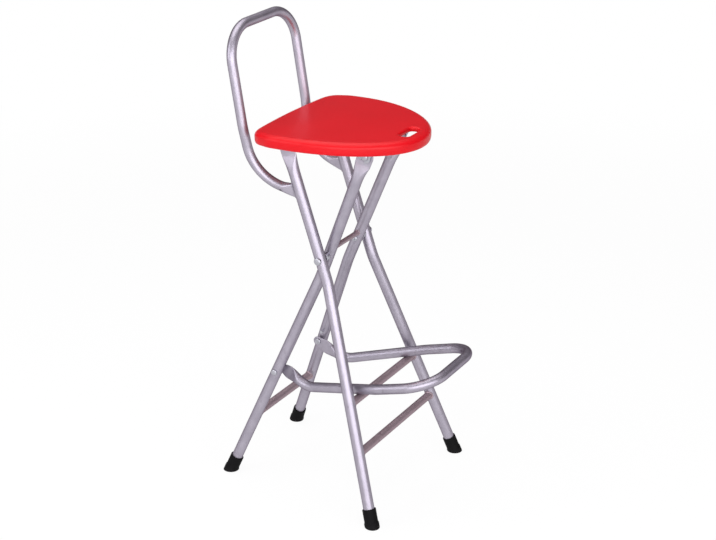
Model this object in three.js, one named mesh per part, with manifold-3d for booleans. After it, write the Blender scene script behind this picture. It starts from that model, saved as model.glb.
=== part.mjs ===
// Folding bar stool: an X frame of bent steel tube, a moulded seat that tips up on the outer legs,
// an arched backrest hoop, and a U-shaped footrest that swings up on the inner legs.
// Millimetres. +Z is up, +Y points to the backrest, and the origin is on the floor under the middle.

import * as THREE from 'three';
import { mergeVertices } from 'three/addons/utils/BufferGeometryUtils.js';
import Module from 'manifold-3d';

const wasm = await Module();
wasm.setup();

// Stance of the X frame, seen from the side
const pivotHeight = 494.3;
const hingeHeight = 710;
const hingeReach = 72.09;
const pinReach = 86.71;

// Leg tubes
const legDiameter = 22;
const legWall = 1.3;
const legBendRadius = 130;
const outerFootHalfSpan = 174.6;
const outerTopHalfSpan = 85.6;
const outerBendHeight = 447;
const innerFootHalfSpan = 126.2;
const innerBendHalfSpan = 51.7;
const innerTopHalfSpan = 63.5;
const innerBendHeight = 444;
const innerKneeDrop = 36;
const flatReach = 17.2;
const flatTaper = 41.4;

// Crossbars and the brace rod
const crossbarDiameter = 16;
const crossbarWall = 1.2;
const outerUpperBarHeight = 226;
const outerLowerBarHeight = 134.9;
const innerBarHeight = 134.4;
const braceRodDiameter = 10;
const braceRodLift = 12.2;

// Rubber foot caps
const capDiameter = 27;
const capFlare = 1.2;
const capLength = 36;
const capFloor = 7;

// Seat shell
const seatHeight = 754;
const seatDepth = 29.5;
const seatNoseReach = 247.5;
const seatBackReach = 53.2;
const seatHalfWidth = 154.3;
const seatWidestReach = 32.3;
const seatCornerHalfWidth = 146.1;
const seatCornerReach = 38.6;
const seatCornerRound = 26.3;
const seatWall = 3.2;
const seatTopWall = 4;
const seatArch = 4;
const seatCrown = 1.6;
const seatEdgeWidth = 14;
const seatEdgeRise = 10;
const seatFootDraw = 3;
const seatFootRise = 8;
const ribWall = 2.4;
const ribDepth = 13;
const spinePitch = 30;
const ribPitch = 44;
const ribFrontReach = 150;

// Hand slot in the seat's nose
const slotSetback = 32.5;
const slotLength = 56;
const slotWidth = 21;
const slotEdgeRadius = 4.5;
const slotCollarWall = 3;
const slotCollarDepth = 10;

// Steel brackets under the seat
const bracketGauge = 2.5;
const bracketBend = 3;
const bracketLength = 46;
const bracketBase = 27;
const bracketDrop = 12;
const padHeight = 5;
const hookLeanDegrees = 34;
const screwDiameter = 4;
const screwLength = 8;
const screwHeadDiameter = 8;
const screwHeadHeight = 2.4;
const screwSpacing = 30;

// Rivets, pins and spacers
const pivotRivetDiameter = 8;
const pivotHeadDiameter = 15;
const pivotInnerHeadDiameter = 12;
const pivotHeadHeight = 4;
const seatRivetDiameter = 7;
const seatHeadDiameter = 13;
const seatHeadHeight = 2.8;
const pivotSpacerDiameter = 17;
const footrestRivetDiameter = 7;
const footrestHeadDiameter = 13;
const footrestHeadHeight = 3.4;
const footrestSpacerDiameter = 13;
const footrestSpacerLength = 4.7;
const stopPinDiameter = 6;
const stopPinReach = 27;
const stopPinLength = 8.5;

// Backrest hoop
const hoopDiameter = 19;
const hoopWall = 1.2;
const hoopHalfWidth = 111;
const hoopNeckHalfWidth = 99.5;
const hoopTopHeight = 926;
const hoopCornerRadius = 66;
const hoopJoinHeight = 624.5;
const hoopKneeReach = 136.7;
const hoopKneeHeight = 639.8;
const hoopKneeRadius = 92;
const hoopShoulderHeight = 742;
const hoopShoulderReach = 153.1;
const hoopShoulderRadius = 160;
const hoopLeanDegrees = 9.1;
const hoopSqueeze = 3;
const hoopSqueezeTaper = 30;
const drainHoleDiameter = 5;
const drainHoleSetback = 37;
const drainHoleTiltDegrees = 55;

// Footrest loop
const footrestDiameter = 20;
const footrestWall = 1.2;
const footrestPivotHeight = 233.4;
const footrestReach = 246.5;
const footrestHalfWidth = 102.5;
const footrestCornerRadius = 60;
const footrestFlareEnd = 132;
const footrestRiseDegrees = 16.2;
const footrestKneeRun = 63;
const footrestKneeRadius = 52;
const footrestTabLength = 30;
const footrestTabRound = 10.5;
const footrestTabTaper = 30;
const ventHoleSetback = 100;

// Running and resting gaps
const gap = 0.3;
const boreClearance = 0.3;
const overrun = 2;
const weldTolerance = 0.0001;

// Fineness of round forms
const tubeSides = 14;
const capSides = 16;
const hollowSides = 8;
const boreSides = 10;
const pinSides = 12;
const screwSides = 8;
const bendStepDegrees = 18;
const flatSteps = 3;
const squeezeSteps = 2;
const roundSteps = 3;
const footSteps = 2;
const domeSteps = 2;
const noseSteps = 9;
const flankSteps = 2;
const cornerSteps = 4;
const backSteps = 3;

// Proportions
const tipShare = 0.07;
const headRimShare = 0.3;
const screwRimShare = 0.7;
const legBoreShare = 0.8;
const footrestBoreShare = 0.4;
const noseWidthShare = 0.55;
const noseDepthShare = 0.55;
const cornerPullShare = 0.68;
const backPullShare = 0.22;
const backTurnShare = 0.67;
const crownShares = [0.65, 0.2];
const ceilingShares = [0.4];
const screwShares = [-0.5, 0.5];
const spineShares = [-1, 0, 1];
const crossRibShares = [-1, 0, 1, 2];

const silver = { color: 0xb6b3c2, roughness: 0.34, metalness: 0.75 };
const zinc = { color: 0xc9c9cf, roughness: 0.3, metalness: 0.9 };
const redPlastic = { color: 0xd3202b, roughness: 0.38, metalness: 0 };
const blackRubber = { color: 0x18181a, roughness: 0.75, metalness: 0 };

const legRadius = legDiameter / 2;
const legPress = legWall;
const crossbarRadius = crossbarDiameter / 2;
const hoopRadius = hoopDiameter / 2;
const footrestRadius = footrestDiameter / 2;
const frontFootReach = hingeReach * pivotHeight / (hingeHeight - pivotHeight);
const rearFootReach = pinReach * pivotHeight / (hingeHeight - pivotHeight);
const outerRake = Math.atan(frontFootReach / pivotHeight);
const innerRake = Math.atan(rearFootReach / pivotHeight);
const slotReach = seatNoseReach - slotSetback;
const sides = { left: -1, right: 1 };

const radians = THREE.MathUtils.degToRad;
const axisX = new THREE.Vector3(1, 0, 0);
const axisY = new THREE.Vector3(0, 1, 0);
const vector = (x, y, z) => new THREE.Vector3(x, y, z);

// Distance up a frame's own plane from the pivot, for a height above the floor
const alongOuter = (height) => (height - pivotHeight) / Math.cos(outerRake);
const alongInner = (height) => (height - pivotHeight) / Math.cos(innerRake);

// Solids and meshes

function solidOf(geometry) {
  const bare = geometry.clone();
  bare.deleteAttribute('normal');
  bare.deleteAttribute('uv');
  const welded = mergeVertices(bare, weldTolerance);
  const vertProperties = new Float32Array(welded.attributes.position.array);
  const triVerts = Uint32Array.from(welded.index.array);
  return new wasm.Manifold(new wasm.Mesh({ numProp: 3, vertProperties, triVerts }));
}

function geometryOf(solid) {
  const mesh = solid.getMesh();
  const geometry = new THREE.BufferGeometry();
  geometry.setAttribute('position', new THREE.BufferAttribute(new Float32Array(mesh.vertProperties), 3));
  geometry.setIndex(new THREE.BufferAttribute(Uint32Array.from(mesh.triVerts), 1));
  geometry.computeVertexNormals();
  return geometry;
}

function addPiece(group, name, shape, finish) {
  const geometry = shape.isBufferGeometry ? shape : geometryOf(shape);
  const mesh = new THREE.Mesh(geometry, new THREE.MeshStandardMaterial(finish));
  mesh.name = name;
  group.add(mesh);
  return mesh;
}

// A closed skin through rings of equal count, closed by a fan at each end
function loft(rings) {
  const count = rings[0].length;
  const positions = rings.flat().flatMap((point) => point.toArray());
  const faces = [];
  for (let ring = 0; ring + 1 < rings.length; ring += 1) {
    for (let step = 0; step < count; step += 1) {
      const next = (step + 1) % count;
      const a = ring * count + step;
      const b = ring * count + next;
      faces.push(a, b, b + count, a, b + count, a + count);
    }
  }
  for (const [ring, flip] of [[0, true], [rings.length - 1, false]]) {
    const middle = new THREE.Vector3();
    rings[ring].forEach((point) => middle.addScaledVector(point, 1 / count));
    const hub = positions.length / 3;
    positions.push(...middle.toArray());
    for (let step = 0; step < count; step += 1) {
      const a = ring * count + step;
      const b = ring * count + (step + 1) % count;
      faces.push(...(flip ? [b, a, hub] : [a, b, hub]));
    }
  }
  const at = (index) => new THREE.Vector3().fromArray(positions, 3 * index);
  let volume = 0;
  for (let face = 0; face < faces.length; face += 3) {
    volume += at(faces[face]).dot(at(faces[face + 1]).cross(at(faces[face + 2])));
  }
  const geometry = new THREE.BufferGeometry();
  geometry.setAttribute('position', new THREE.Float32BufferAttribute(positions, 3));
  geometry.setIndex(volume > 0 ? faces : faces.reverse());
  return geometry;
}

function rod(radius, from, to, count = pinSides) {
  const run = to.clone().sub(from);
  const geometry = new THREE.CylinderGeometry(radius, radius, run.length(), count);
  geometry.applyQuaternion(new THREE.Quaternion().setFromUnitVectors(axisY, run.normalize()));
  const middle = from.clone().lerp(to, 0.5);
  geometry.translate(middle.x, middle.y, middle.z);
  return solidOf(geometry);
}

function box(low, high) {
  const size = high.clone().sub(low);
  const geometry = new THREE.BoxGeometry(size.x, size.y, size.z);
  const middle = low.clone().lerp(high, 0.5);
  geometry.translate(middle.x, middle.y, middle.z);
  return solidOf(geometry);
}

// A turned solid whose axis runs along X from the origin, from pairs of radius and distance
function turned(profile) {
  const points = profile.map(([radius, distance]) => new THREE.Vector2(radius, distance));
  const geometry = new THREE.LatheGeometry(points, pinSides);
  geometry.applyQuaternion(new THREE.Quaternion().setFromUnitVectors(axisY, axisX));
  return solidOf(geometry);
}

// A domed rivet head on distance 0, rising to its height along X, with a skirt below
function domedHead(radius, height, skirt) {
  const dome = [[0, -skirt], [radius, -skirt], [radius, height * headRimShare]];
  for (let step = 1; step <= domeSteps; step += 1) {
    const angle = (step / domeSteps) * Math.PI / 2;
    const rise = THREE.MathUtils.lerp(headRimShare, 1, Math.sin(angle));
    dome.push([radius * Math.cos(angle), height * rise]);
  }
  dome[dome.length - 1][0] = 0;
  return turned(dome);
}

function moved(solid, offset) {
  const geometry = geometryOf(solid);
  geometry.translate(offset.x, offset.y, offset.z);
  return solidOf(geometry);
}

function mirrored(solid) {
  const geometry = geometryOf(solid);
  geometry.scale(-1, 1, 1);
  const index = geometry.index.array;
  geometry.setIndex(Array.from(index).reverse());
  return solidOf(geometry);
}

// Bent tubes

// A route of straight runs joined by arcs, one radius for each inner corner
function bentPath(corners, radii) {
  const runs = [];
  let from = corners[0];
  for (let corner = 1; corner + 1 < corners.length; corner += 1) {
    const before = corners[corner].clone().sub(corners[corner - 1]).normalize();
    const after = corners[corner + 1].clone().sub(corners[corner]).normalize();
    const turn = before.angleTo(after);
    const axis = before.clone().cross(after).normalize();
    const radius = radii[corner - 1];
    const setback = radius * Math.tan(turn / 2);
    const start = corners[corner].clone().addScaledVector(before, -setback);
    const centre = start.clone().addScaledVector(axis.clone().cross(before), radius);
    const arm = start.clone().sub(centre);
    runs.push({ start: from, heading: before, length: from.distanceTo(start), turn: 0 });
    runs.push({ centre, arm, axis, heading: before, radius, turn, length: radius * turn });
    from = corners[corner].clone().addScaledVector(after, setback);
  }
  const last = corners[corners.length - 1];
  const heading = last.clone().sub(from);
  runs.push({ start: from, heading: heading.clone().normalize(), length: heading.length(), turn: 0 });

  const length = runs.reduce((sum, run) => sum + run.length, 0);
  const at = (distance) => {
    let rest = distance;
    let run = runs[0];
    for (run of runs) {
      if (rest <= run.length || run === runs[runs.length - 1]) break;
      rest -= run.length;
    }
    if (run.turn === 0) {
      return { point: run.start.clone().addScaledVector(run.heading, rest), heading: run.heading };
    }
    const angle = rest / run.radius;
    const point = run.arm.clone().applyAxisAngle(run.axis, angle).add(run.centre);
    return { point, heading: run.heading.clone().applyAxisAngle(run.axis, angle) };
  };

  const stops = [0];
  let walked = 0;
  for (const run of runs) {
    const steps = Math.max(1, Math.ceil(run.turn / radians(bendStepDegrees)));
    for (let step = 1; step <= steps; step += 1) stops.push(walked + run.length * step / steps);
    walked += run.length;
  }
  return { length, at, stops };
}

// Rings of a tube along a path; sizeAt gives the half width and half thickness at a distance.
// A squeezed tube is thin along its thin axis, which starts along X and is carried without twist.
function tubeSolid(path, stops, sizeAt, count) {
  const ordered = [...new Set(stops)].sort((a, b) => a - b);
  const places = ordered.filter((stop, index) => index === 0 || stop - ordered[index - 1] > weldTolerance);
  let thin = axisX.clone();
  let heading = null;
  const rings = places.map((stop) => {
    const place = path.at(stop);
    if (heading) thin.applyQuaternion(new THREE.Quaternion().setFromUnitVectors(heading, place.heading));
    heading = place.heading;
    thin = thin.clone().addScaledVector(heading, -thin.dot(heading)).normalize();
    const wide = heading.clone().cross(thin);
    const [halfWide, halfThin] = sizeAt(stop);
    return Array.from({ length: count }, (_, step) => {
      const angle = 2 * Math.PI * (step + 0.5) / count;
      const stretch = (halfWide - halfThin) * Math.sign(Math.cos(angle));
      return place.point.clone()
        .addScaledVector(wide, stretch + halfThin * Math.cos(angle))
        .addScaledVector(thin, halfThin * Math.sin(angle));
    });
  });
  return solidOf(loft(rings));
}

// Half width of a tube squeezed to a half thickness, its girth unchanged
const squeezedWidth = (radius, halfThin) => halfThin + (radius - halfThin) * Math.PI / 2;
const eased = (share) => THREE.MathUtils.smoothstep(share, 0, 1);

// Legs

const outerBend = alongOuter(outerBendHeight);
const innerBend = alongInner(innerBendHeight);
const legFlatRound = squeezedWidth(legRadius, legPress);

const outerHinge = alongOuter(hingeHeight);
const innerPin = alongInner(hingeHeight);

const outerCorners = (side) => [
  vector(side * outerFootHalfSpan, 0, alongOuter(0)),
  vector(side * outerTopHalfSpan, 0, outerBend),
  vector(side * outerTopHalfSpan, 0, outerHinge + legFlatRound),
];

const innerCorners = (side) => [
  vector(side * innerFootHalfSpan, 0, alongInner(0)),
  vector(side * innerBendHalfSpan, 0, innerBend),
  vector(side * innerTopHalfSpan, 0, innerPin - innerKneeDrop),
  vector(side * innerTopHalfSpan, 0, innerPin + legFlatRound),
];

// A leg tube: round from the foot cap up, then pressed flat to a rounded end at the top
function legSolid(corners) {
  const radii = corners.slice(2).map(() => legBendRadius);
  const path = bentPath(corners, radii);
  const start = capFloor + gap;
  const flatEnd = path.length;
  const flatStart = flatEnd - legFlatRound - flatReach;
  const taperStart = flatStart - flatTaper;
  const tip = legFlatRound * tipShare;
  const thinAt = (distance) => {
    const share = THREE.MathUtils.clamp((distance - taperStart) / flatTaper, 0, 1);
    return legRadius + (legPress - legRadius) * share ** 2;
  };
  const sizeAt = (distance) => {
    const halfThin = thinAt(distance);
    const left = Math.max(tip, flatEnd - distance);
    const full = squeezedWidth(legRadius, halfThin);
    if (left >= legFlatRound) return [full, halfThin];
    return [Math.sqrt(legFlatRound ** 2 - (legFlatRound - left) ** 2), halfThin];
  };
  const stops = [start, ...path.stops.filter((stop) => stop > start), flatStart, taperStart];
  for (let step = 1; step <= flatSteps; step += 1) {
    stops.push(taperStart + flatTaper * step / (flatSteps + 1));
  }
  for (let step = 1; step <= flatSteps; step += 1) {
    const angle = (step / flatSteps) * Math.PI / 2;
    stops.push(flatEnd - legFlatRound * (1 - Math.sin(angle)) - (step === flatSteps ? tip : 0));
  }
  stops.push(flatEnd - legFlatRound);
  const body = stops.filter((stop) => stop <= flatEnd - tip + weldTolerance);
  const outside = tubeSolid(path, body, sizeAt, tubeSides);

  const boreEnd = taperStart + flatTaper * legBoreShare;
  const boreAt = (distance) => sizeAt(distance).map((size) => size - legWall);
  const inner = body.filter((stop) => stop > start && stop < boreEnd);
  const bore = tubeSolid(path, [start - overrun, ...inner, boreEnd], boreAt, hollowSides);
  return outside.subtract(bore);
}

// A straight stand-in for the stretch of leg round a place, grown by the resting gap
function legCutter(corners, first) {
  const from = corners[first];
  const to = corners[first + 1];
  const grown = (legRadius + gap) / Math.cos(Math.PI / tubeSides);
  const beyond = to.clone().sub(from).setLength(legDiameter);
  return rod(grown, from.clone().sub(beyond), to.clone().add(beyond), tubeSides);
}

const legXAt = (corners, along) => {
  const first = along < corners[1].z ? 0 : 1;
  const share = (along - corners[first].z) / (corners[first + 1].z - corners[first].z);
  return THREE.MathUtils.lerp(corners[first].x, corners[first + 1].x, share);
};

// Crossbars: tubes coped onto the legs at both ends

function crossbar(cornersOf, along, radius, wall) {
  const reach = Math.abs(legXAt(cornersOf(sides.right), along));
  const from = vector(-reach, 0, along);
  const to = vector(reach, 0, along);
  let bar = rod(radius, from, to, tubeSides);
  if (wall > 0) bar = bar.subtract(rod(radius - wall, from, to, hollowSides));
  const segment = along < cornersOf(sides.right)[1].z ? 0 : 1;
  for (const side of Object.values(sides)) bar = bar.subtract(legCutter(cornersOf(side), segment));
  return bar;
}

// Rubber caps: a cup on the leg's end, cut flat by the floor

function footCap(corners, rake) {
  const radius = capDiameter / 2;
  const bore = legRadius + gap;
  const profile = [
    [0, -radius], [radius + capFlare, -radius], [radius + capFlare, capFloor],
    [radius, capFloor + 2 * capFlare], [radius, capLength - capFlare],
    [radius - capFlare, capLength], [bore, capLength], [bore, capFloor], [0, capFloor],
  ];
  const points = profile.map(([reach, rise]) => new THREE.Vector2(reach, rise));
  const geometry = new THREE.LatheGeometry(points, capSides);
  const heading = corners[1].clone().sub(corners[0]).normalize();
  geometry.applyQuaternion(new THREE.Quaternion().setFromUnitVectors(axisY, heading));
  geometry.translate(corners[0].x, corners[0].y, corners[0].z);
  const reach = 3 * capDiameter;
  const floor = new THREE.BoxGeometry(reach, reach, reach);
  floor.translate(0, 0, -reach / 2);
  floor.rotateX(-rake);
  floor.translate(corners[0].x, corners[0].y, corners[0].z);
  return solidOf(geometry).subtract(solidOf(floor));
}

// The outer frame: front feet, tops hinged to the back of the seat

const outerFrame = new THREE.Group();
outerFrame.position.set(0, 0, pivotHeight);
outerFrame.rotation.x = -outerRake;

// The inner frame: rear feet, tops hooked under the front of the seat

const innerFrame = new THREE.Group();
innerFrame.position.set(0, 0, pivotHeight);
innerFrame.rotation.x = innerRake;

const footrestPivot = alongInner(footrestPivotHeight);
const pinHole = (along, diameter) => rod(
  diameter / 2 + boreClearance,
  vector(-2 * outerFootHalfSpan, 0, along),
  vector(2 * outerFootHalfSpan, 0, along),
  boreSides,
);
const pivotHole = pinHole(0, pivotRivetDiameter);
const hingeHole = pinHole(outerHinge, seatRivetDiameter);
const frontPinHole = pinHole(innerPin, seatRivetDiameter);
const footrestHole = pinHole(footrestPivot, footrestRivetDiameter);

function stopPinPlace(side) {
  const along = footrestPivot + stopPinReach;
  return vector(legXAt(innerCorners(side), along), 0, along);
}

for (const [name, side] of Object.entries(sides)) {
  const outerLeg = legSolid(outerCorners(side)).subtract(pivotHole).subtract(hingeHole);
  addPiece(outerFrame, `outer_leg_${name}`, outerLeg, silver);
  addPiece(outerFrame, `front_foot_cap_${name}`, footCap(outerCorners(side), -outerRake), blackRubber);

  const place = stopPinPlace(side);
  const socket = rod(
    stopPinDiameter / 2 + boreClearance,
    place,
    vector(place.x - side * legDiameter, 0, place.z),
    boreSides,
  );
  const innerLeg = legSolid(innerCorners(side)).subtract(pivotHole).subtract(frontPinHole)
    .subtract(footrestHole).subtract(socket);
  addPiece(innerFrame, `inner_leg_${name}`, innerLeg, silver);
  addPiece(innerFrame, `rear_foot_cap_${name}`, footCap(innerCorners(side), innerRake), blackRubber);
}

addPiece(outerFrame, 'outer_upper_crossbar',
  crossbar(outerCorners, alongOuter(outerUpperBarHeight), crossbarRadius, crossbarWall), silver);
addPiece(outerFrame, 'outer_lower_crossbar',
  crossbar(outerCorners, alongOuter(outerLowerBarHeight), crossbarRadius, crossbarWall), silver);
addPiece(innerFrame, 'inner_crossbar',
  crossbar(innerCorners, alongInner(innerBarHeight), crossbarRadius, crossbarWall), silver);
addPiece(innerFrame, 'inner_brace_rod',
  crossbar(innerCorners, alongInner(pivotHeight + braceRodLift), braceRodDiameter / 2, 0), silver);

// Rivets with a head at each end, each head coped to the tube that it closes on

function rivetSolid(radius, heads, cutters) {
  let solid = null;
  for (const { at, outward, headRadius, headHeight, skirt } of heads) {
    let head = domedHead(headRadius, headHeight, skirt);
    if (outward < 0) head = mirrored(head);
    head = moved(head, vector(at, 0, 0));
    for (const cutter of cutters) head = head.subtract(cutter);
    solid = solid ? solid.add(head) : head;
  }
  const reach = heads.map(({ at, outward, headHeight }) => at + outward * headHeight * headRimShare);
  return solid.add(rod(radius, vector(reach[0], 0, 0), vector(reach[1], 0, 0)));
}

// How far a round head's rim stands off the tube that it closes on
const tubeSkirt = (radius) => legRadius - Math.sqrt(legRadius ** 2 - radius ** 2);
const dropped = (corners, along) => corners.map((corner) => corner.clone().sub(vector(0, 0, along)));

for (const [name, side] of Object.entries(sides)) {
  const outer = outerCorners(side);
  const innerX = legXAt(innerCorners(side), 0);
  const outerFace = side * (outerTopHalfSpan + legRadius + gap);
  const innerFace = innerX - side * (legRadius + gap);
  const pivotRivet = rivetSolid(pivotRivetDiameter / 2, [
    { at: outerFace, outward: side, skirt: tubeSkirt(pivotHeadDiameter / 2),
      headRadius: pivotHeadDiameter / 2, headHeight: pivotHeadHeight },
    { at: innerFace, outward: -side, skirt: 0,
      headRadius: pivotInnerHeadDiameter / 2, headHeight: pivotHeadHeight },
  ], [legCutter(outer, 1)]);
  addPiece(outerFrame, `pivot_rivet_${name}`, pivotRivet, zinc);

  const lean = (innerTopHalfSpan - innerBendHalfSpan) / (innerPin - innerKneeDrop - innerBend);
  const leanRoom = lean * pivotSpacerDiameter / 2;
  const spacerFrom = innerX + side * (legRadius + gap + leanRoom);
  const spacerTo = side * (outerTopHalfSpan - legRadius - gap);
  const spacer = rod(pivotSpacerDiameter / 2, vector(spacerFrom, 0, 0), vector(spacerTo, 0, 0))
    .subtract(rod(pivotRivetDiameter / 2 + boreClearance,
      vector(spacerFrom - side * overrun, 0, 0), vector(spacerTo + side * overrun, 0, 0), boreSides));
  addPiece(outerFrame, `pivot_spacer_${name}`, spacer, zinc);
}

// Footrest pivots on the inner legs: a coped spacer, a rivet and a stop pin on each side

const footrestLegX = Math.abs(legXAt(innerCorners(sides.right), footrestPivot));
const footrestLegSlant = Math.atan(
  (innerFootHalfSpan - innerBendHalfSpan) / (innerBend - alongInner(0)),
);
const footrestLegFace = footrestLegX - legRadius / Math.cos(footrestLegSlant);
const tabOuterFace = footrestLegFace - footrestSpacerLength;
const tabHalf = footrestWall;
const tabX = tabOuterFace - gap - tabHalf;

for (const [name, side] of Object.entries(sides)) {
  const corners = dropped(innerCorners(side), footrestPivot);
  const cutter = legCutter(corners, 0);
  const spacer = rod(footrestSpacerDiameter / 2,
    vector(side * tabOuterFace, 0, 0), vector(side * footrestLegX, 0, 0))
    .subtract(cutter)
    .subtract(rod(footrestRivetDiameter / 2 + boreClearance,
      vector(side * (tabOuterFace - overrun), 0, 0), vector(side * footrestLegX, 0, 0), boreSides));
  const spacerMesh = addPiece(innerFrame, `footrest_spacer_${name}`, spacer, zinc);
  spacerMesh.position.z = footrestPivot;

  const outerFace = footrestLegX + legRadius / Math.cos(footrestLegSlant);
  const rivet = rivetSolid(footrestRivetDiameter / 2, [
    { at: side * outerFace, outward: side, skirt: tubeSkirt(footrestHeadDiameter / 2),
      headRadius: footrestHeadDiameter / 2, headHeight: footrestHeadHeight },
    { at: side * (tabX - tabHalf - gap), outward: -side, skirt: 0,
      headRadius: footrestHeadDiameter / 2, headHeight: footrestHeadHeight },
  ], [cutter]);
  const rivetMesh = addPiece(innerFrame, `footrest_rivet_${name}`, rivet, zinc);
  rivetMesh.position.z = footrestPivot;

  const place = stopPinPlace(side);
  const innerSide = place.x - side * legRadius / Math.cos(footrestLegSlant);
  const stopPin = turned([
    [0, -legRadius / 2], [stopPinDiameter / 2, -legRadius / 2],
    [stopPinDiameter / 2, stopPinLength - gap], [stopPinDiameter / 2 - gap, stopPinLength],
    [0, stopPinLength],
  ]);
  const stopMesh = addPiece(innerFrame, `footrest_stop_${name}`,
    side > 0 ? mirrored(stopPin) : stopPin, zinc);
  stopMesh.position.set(innerSide, 0, place.z);
}

// Backrest hoop

function hoopSolid() {
  const lean = Math.tan(radians(hoopLeanDegrees));
  const drainTilt = radians(drainHoleTiltDegrees);
  const joinReach = frontFootReach * (hoopJoinHeight / pivotHeight - 1);
  const topReach = hoopShoulderReach + (hoopTopHeight - hoopShoulderHeight) * lean;
  const half = (side) => [
    vector(side * outerTopHalfSpan, joinReach, hoopJoinHeight),
    vector(side * hoopNeckHalfWidth, hoopKneeReach, hoopKneeHeight),
    vector(side * hoopHalfWidth, hoopShoulderReach, hoopShoulderHeight),
    vector(side * hoopHalfWidth, topReach, hoopTopHeight),
  ];
  const corners = [...half(sides.left), ...half(sides.right).reverse()];
  const path = bentPath(corners, [
    hoopKneeRadius, hoopShoulderRadius, hoopCornerRadius,
    hoopCornerRadius, hoopShoulderRadius, hoopKneeRadius,
  ]);
  const sizeAt = (distance) => {
    const fromEnd = Math.min(distance, path.length - distance) - legRadius;
    const halfThin = hoopSqueeze + (hoopRadius - hoopSqueeze) * eased(fromEnd / hoopSqueezeTaper);
    return [squeezedWidth(hoopRadius, halfThin), halfThin];
  };
  const stops = [...path.stops];
  for (let step = 0; step <= squeezeSteps; step += 1) {
    const distance = legRadius + hoopSqueezeTaper * step / squeezeSteps;
    stops.push(distance, path.length - distance);
  }
  const outside = tubeSolid(path, stops, sizeAt, tubeSides);
  const boreAt = (distance) => sizeAt(distance).map((size) => size - hoopWall);
  let hoop = outside.subtract(tubeSolid(path, stops, boreAt, hollowSides));

  const worldLeg = (side, height) => vector(
    side * outerTopHalfSpan, frontFootReach * (height / pivotHeight - 1), height);
  for (const side of Object.values(sides)) {
    const grown = (legRadius + gap) / Math.cos(Math.PI / tubeSides);
    const from = worldLeg(side, hoopJoinHeight - 3 * legDiameter);
    const to = worldLeg(side, hoopJoinHeight + 3 * legDiameter);
    hoop = hoop.subtract(rod(grown, from, to, tubeSides));
    const distance = side < 0 ? drainHoleSetback : path.length - drainHoleSetback;
    const place = path.at(distance).point;
    const outward = vector(0, 0, -hoopDiameter).applyAxisAngle(axisY, -side * drainTilt);
    hoop = hoop.subtract(rod(drainHoleDiameter / 2, place, place.clone().add(outward), boreSides));
  }
  return hoop;
}

// Footrest loop, in a group whose origin is on its pivot axis

function footrestSolid(pivotReach) {
  const rise = Math.tan(radians(footrestRiseDegrees));
  const restReach = frontFootReach * (1 - outerUpperBarHeight / pivotHeight);
  const restLift = (crossbarRadius + footrestRadius + gap) / Math.cos(radians(footrestRiseDegrees));
  const restHeight = outerUpperBarHeight + restLift;
  const heightAt = (forward) => restHeight + (forward - restReach) * rise - footrestPivotHeight;
  const place = (side, halfWidth, forward) => vector(
    side * halfWidth, -(forward + pivotReach), heightAt(forward));
  const knee = vector(0, -footrestKneeRun, heightAt(footrestKneeRun - pivotReach));
  const tabDirection = knee.clone().normalize();
  const flareRun = footrestFlareEnd + pivotReach - footrestTabLength;
  const kneeShare = (footrestKneeRun - footrestTabLength) / flareRun;
  const kneeX = tabX + (footrestHalfWidth - tabX) * kneeShare;
  const half = (side) => [
    tabDirection.clone().multiplyScalar(-footrestTabRound).setX(side * tabX),
    tabDirection.clone().multiplyScalar(footrestTabLength).setX(side * tabX),
    vector(side * kneeX, knee.y, knee.z),
    place(side, footrestHalfWidth, footrestFlareEnd),
    place(side, footrestHalfWidth, footrestReach),
  ];
  const corners = [...half(sides.left), ...half(sides.right).reverse()];
  const path = bentPath(corners, [
    footrestKneeRadius, footrestKneeRadius, footrestCornerRadius, footrestCornerRadius,
    footrestCornerRadius, footrestCornerRadius, footrestKneeRadius, footrestKneeRadius,
  ]);
  const tip = footrestTabRound * tipShare;
  const flatEnd = footrestTabLength;
  const sizeAt = (distance) => {
    const fromEnd = Math.max(tip, Math.min(distance, path.length - distance));
    const share = (fromEnd - flatEnd) / footrestTabTaper;
    const halfThin = tabHalf + (footrestRadius - tabHalf) * eased(share);
    const full = squeezedWidth(footrestRadius, halfThin);
    const widen = eased((fromEnd - footrestTabRound) / (footrestTabLength - footrestTabRound));
    const trimmed = footrestTabRound + (full - footrestTabRound) * widen;
    if (fromEnd >= footrestTabRound) return [trimmed, halfThin];
    return [Math.sqrt(footrestTabRound ** 2 - (footrestTabRound - fromEnd) ** 2), halfThin];
  };
  const stops = path.stops.filter((stop) => stop > tip && stop < path.length - tip);
  const both = (distance) => stops.push(distance, path.length - distance);
  both(tip);
  both(flatEnd);
  for (let step = 1; step <= flatSteps; step += 1) {
    both(flatEnd + footrestTabTaper * step / (flatSteps + 1));
  }
  both(flatEnd + footrestTabTaper);
  for (let step = 0; step < flatSteps; step += 1) {
    const angle = (step / flatSteps) * Math.PI / 2;
    both(footrestTabRound * (1 - Math.sin(angle)));
  }
  const clear = stops.filter((stop) => stop >= tip && stop <= path.length - tip);
  const outside = tubeSolid(path, clear, sizeAt, tubeSides);

  const boreStart = flatEnd + footrestTabTaper * footrestBoreShare;
  const boreAt = (distance) => sizeAt(distance).map((size) => size - footrestWall);
  const within = clear.filter((stop) => stop > boreStart && stop < path.length - boreStart);
  const bore = tubeSolid(path, [boreStart, ...within, path.length - boreStart], boreAt, hollowSides);
  let footrest = outside.subtract(bore);
  for (const side of Object.values(sides)) {
    const distance = side < 0 ? ventHoleSetback : path.length - ventHoleSetback;
    const vent = path.at(distance).point;
    footrest = footrest.subtract(rod(drainHoleDiameter / 2,
      vent, vent.clone().sub(vector(0, 0, footrestDiameter)), boreSides));
  }
  const hole = rod(footrestRivetDiameter / 2 + boreClearance,
    vector(-footrestHalfWidth, 0, 0), vector(footrestHalfWidth, 0, 0), boreSides);
  return footrest.subtract(hole);
}

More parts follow.
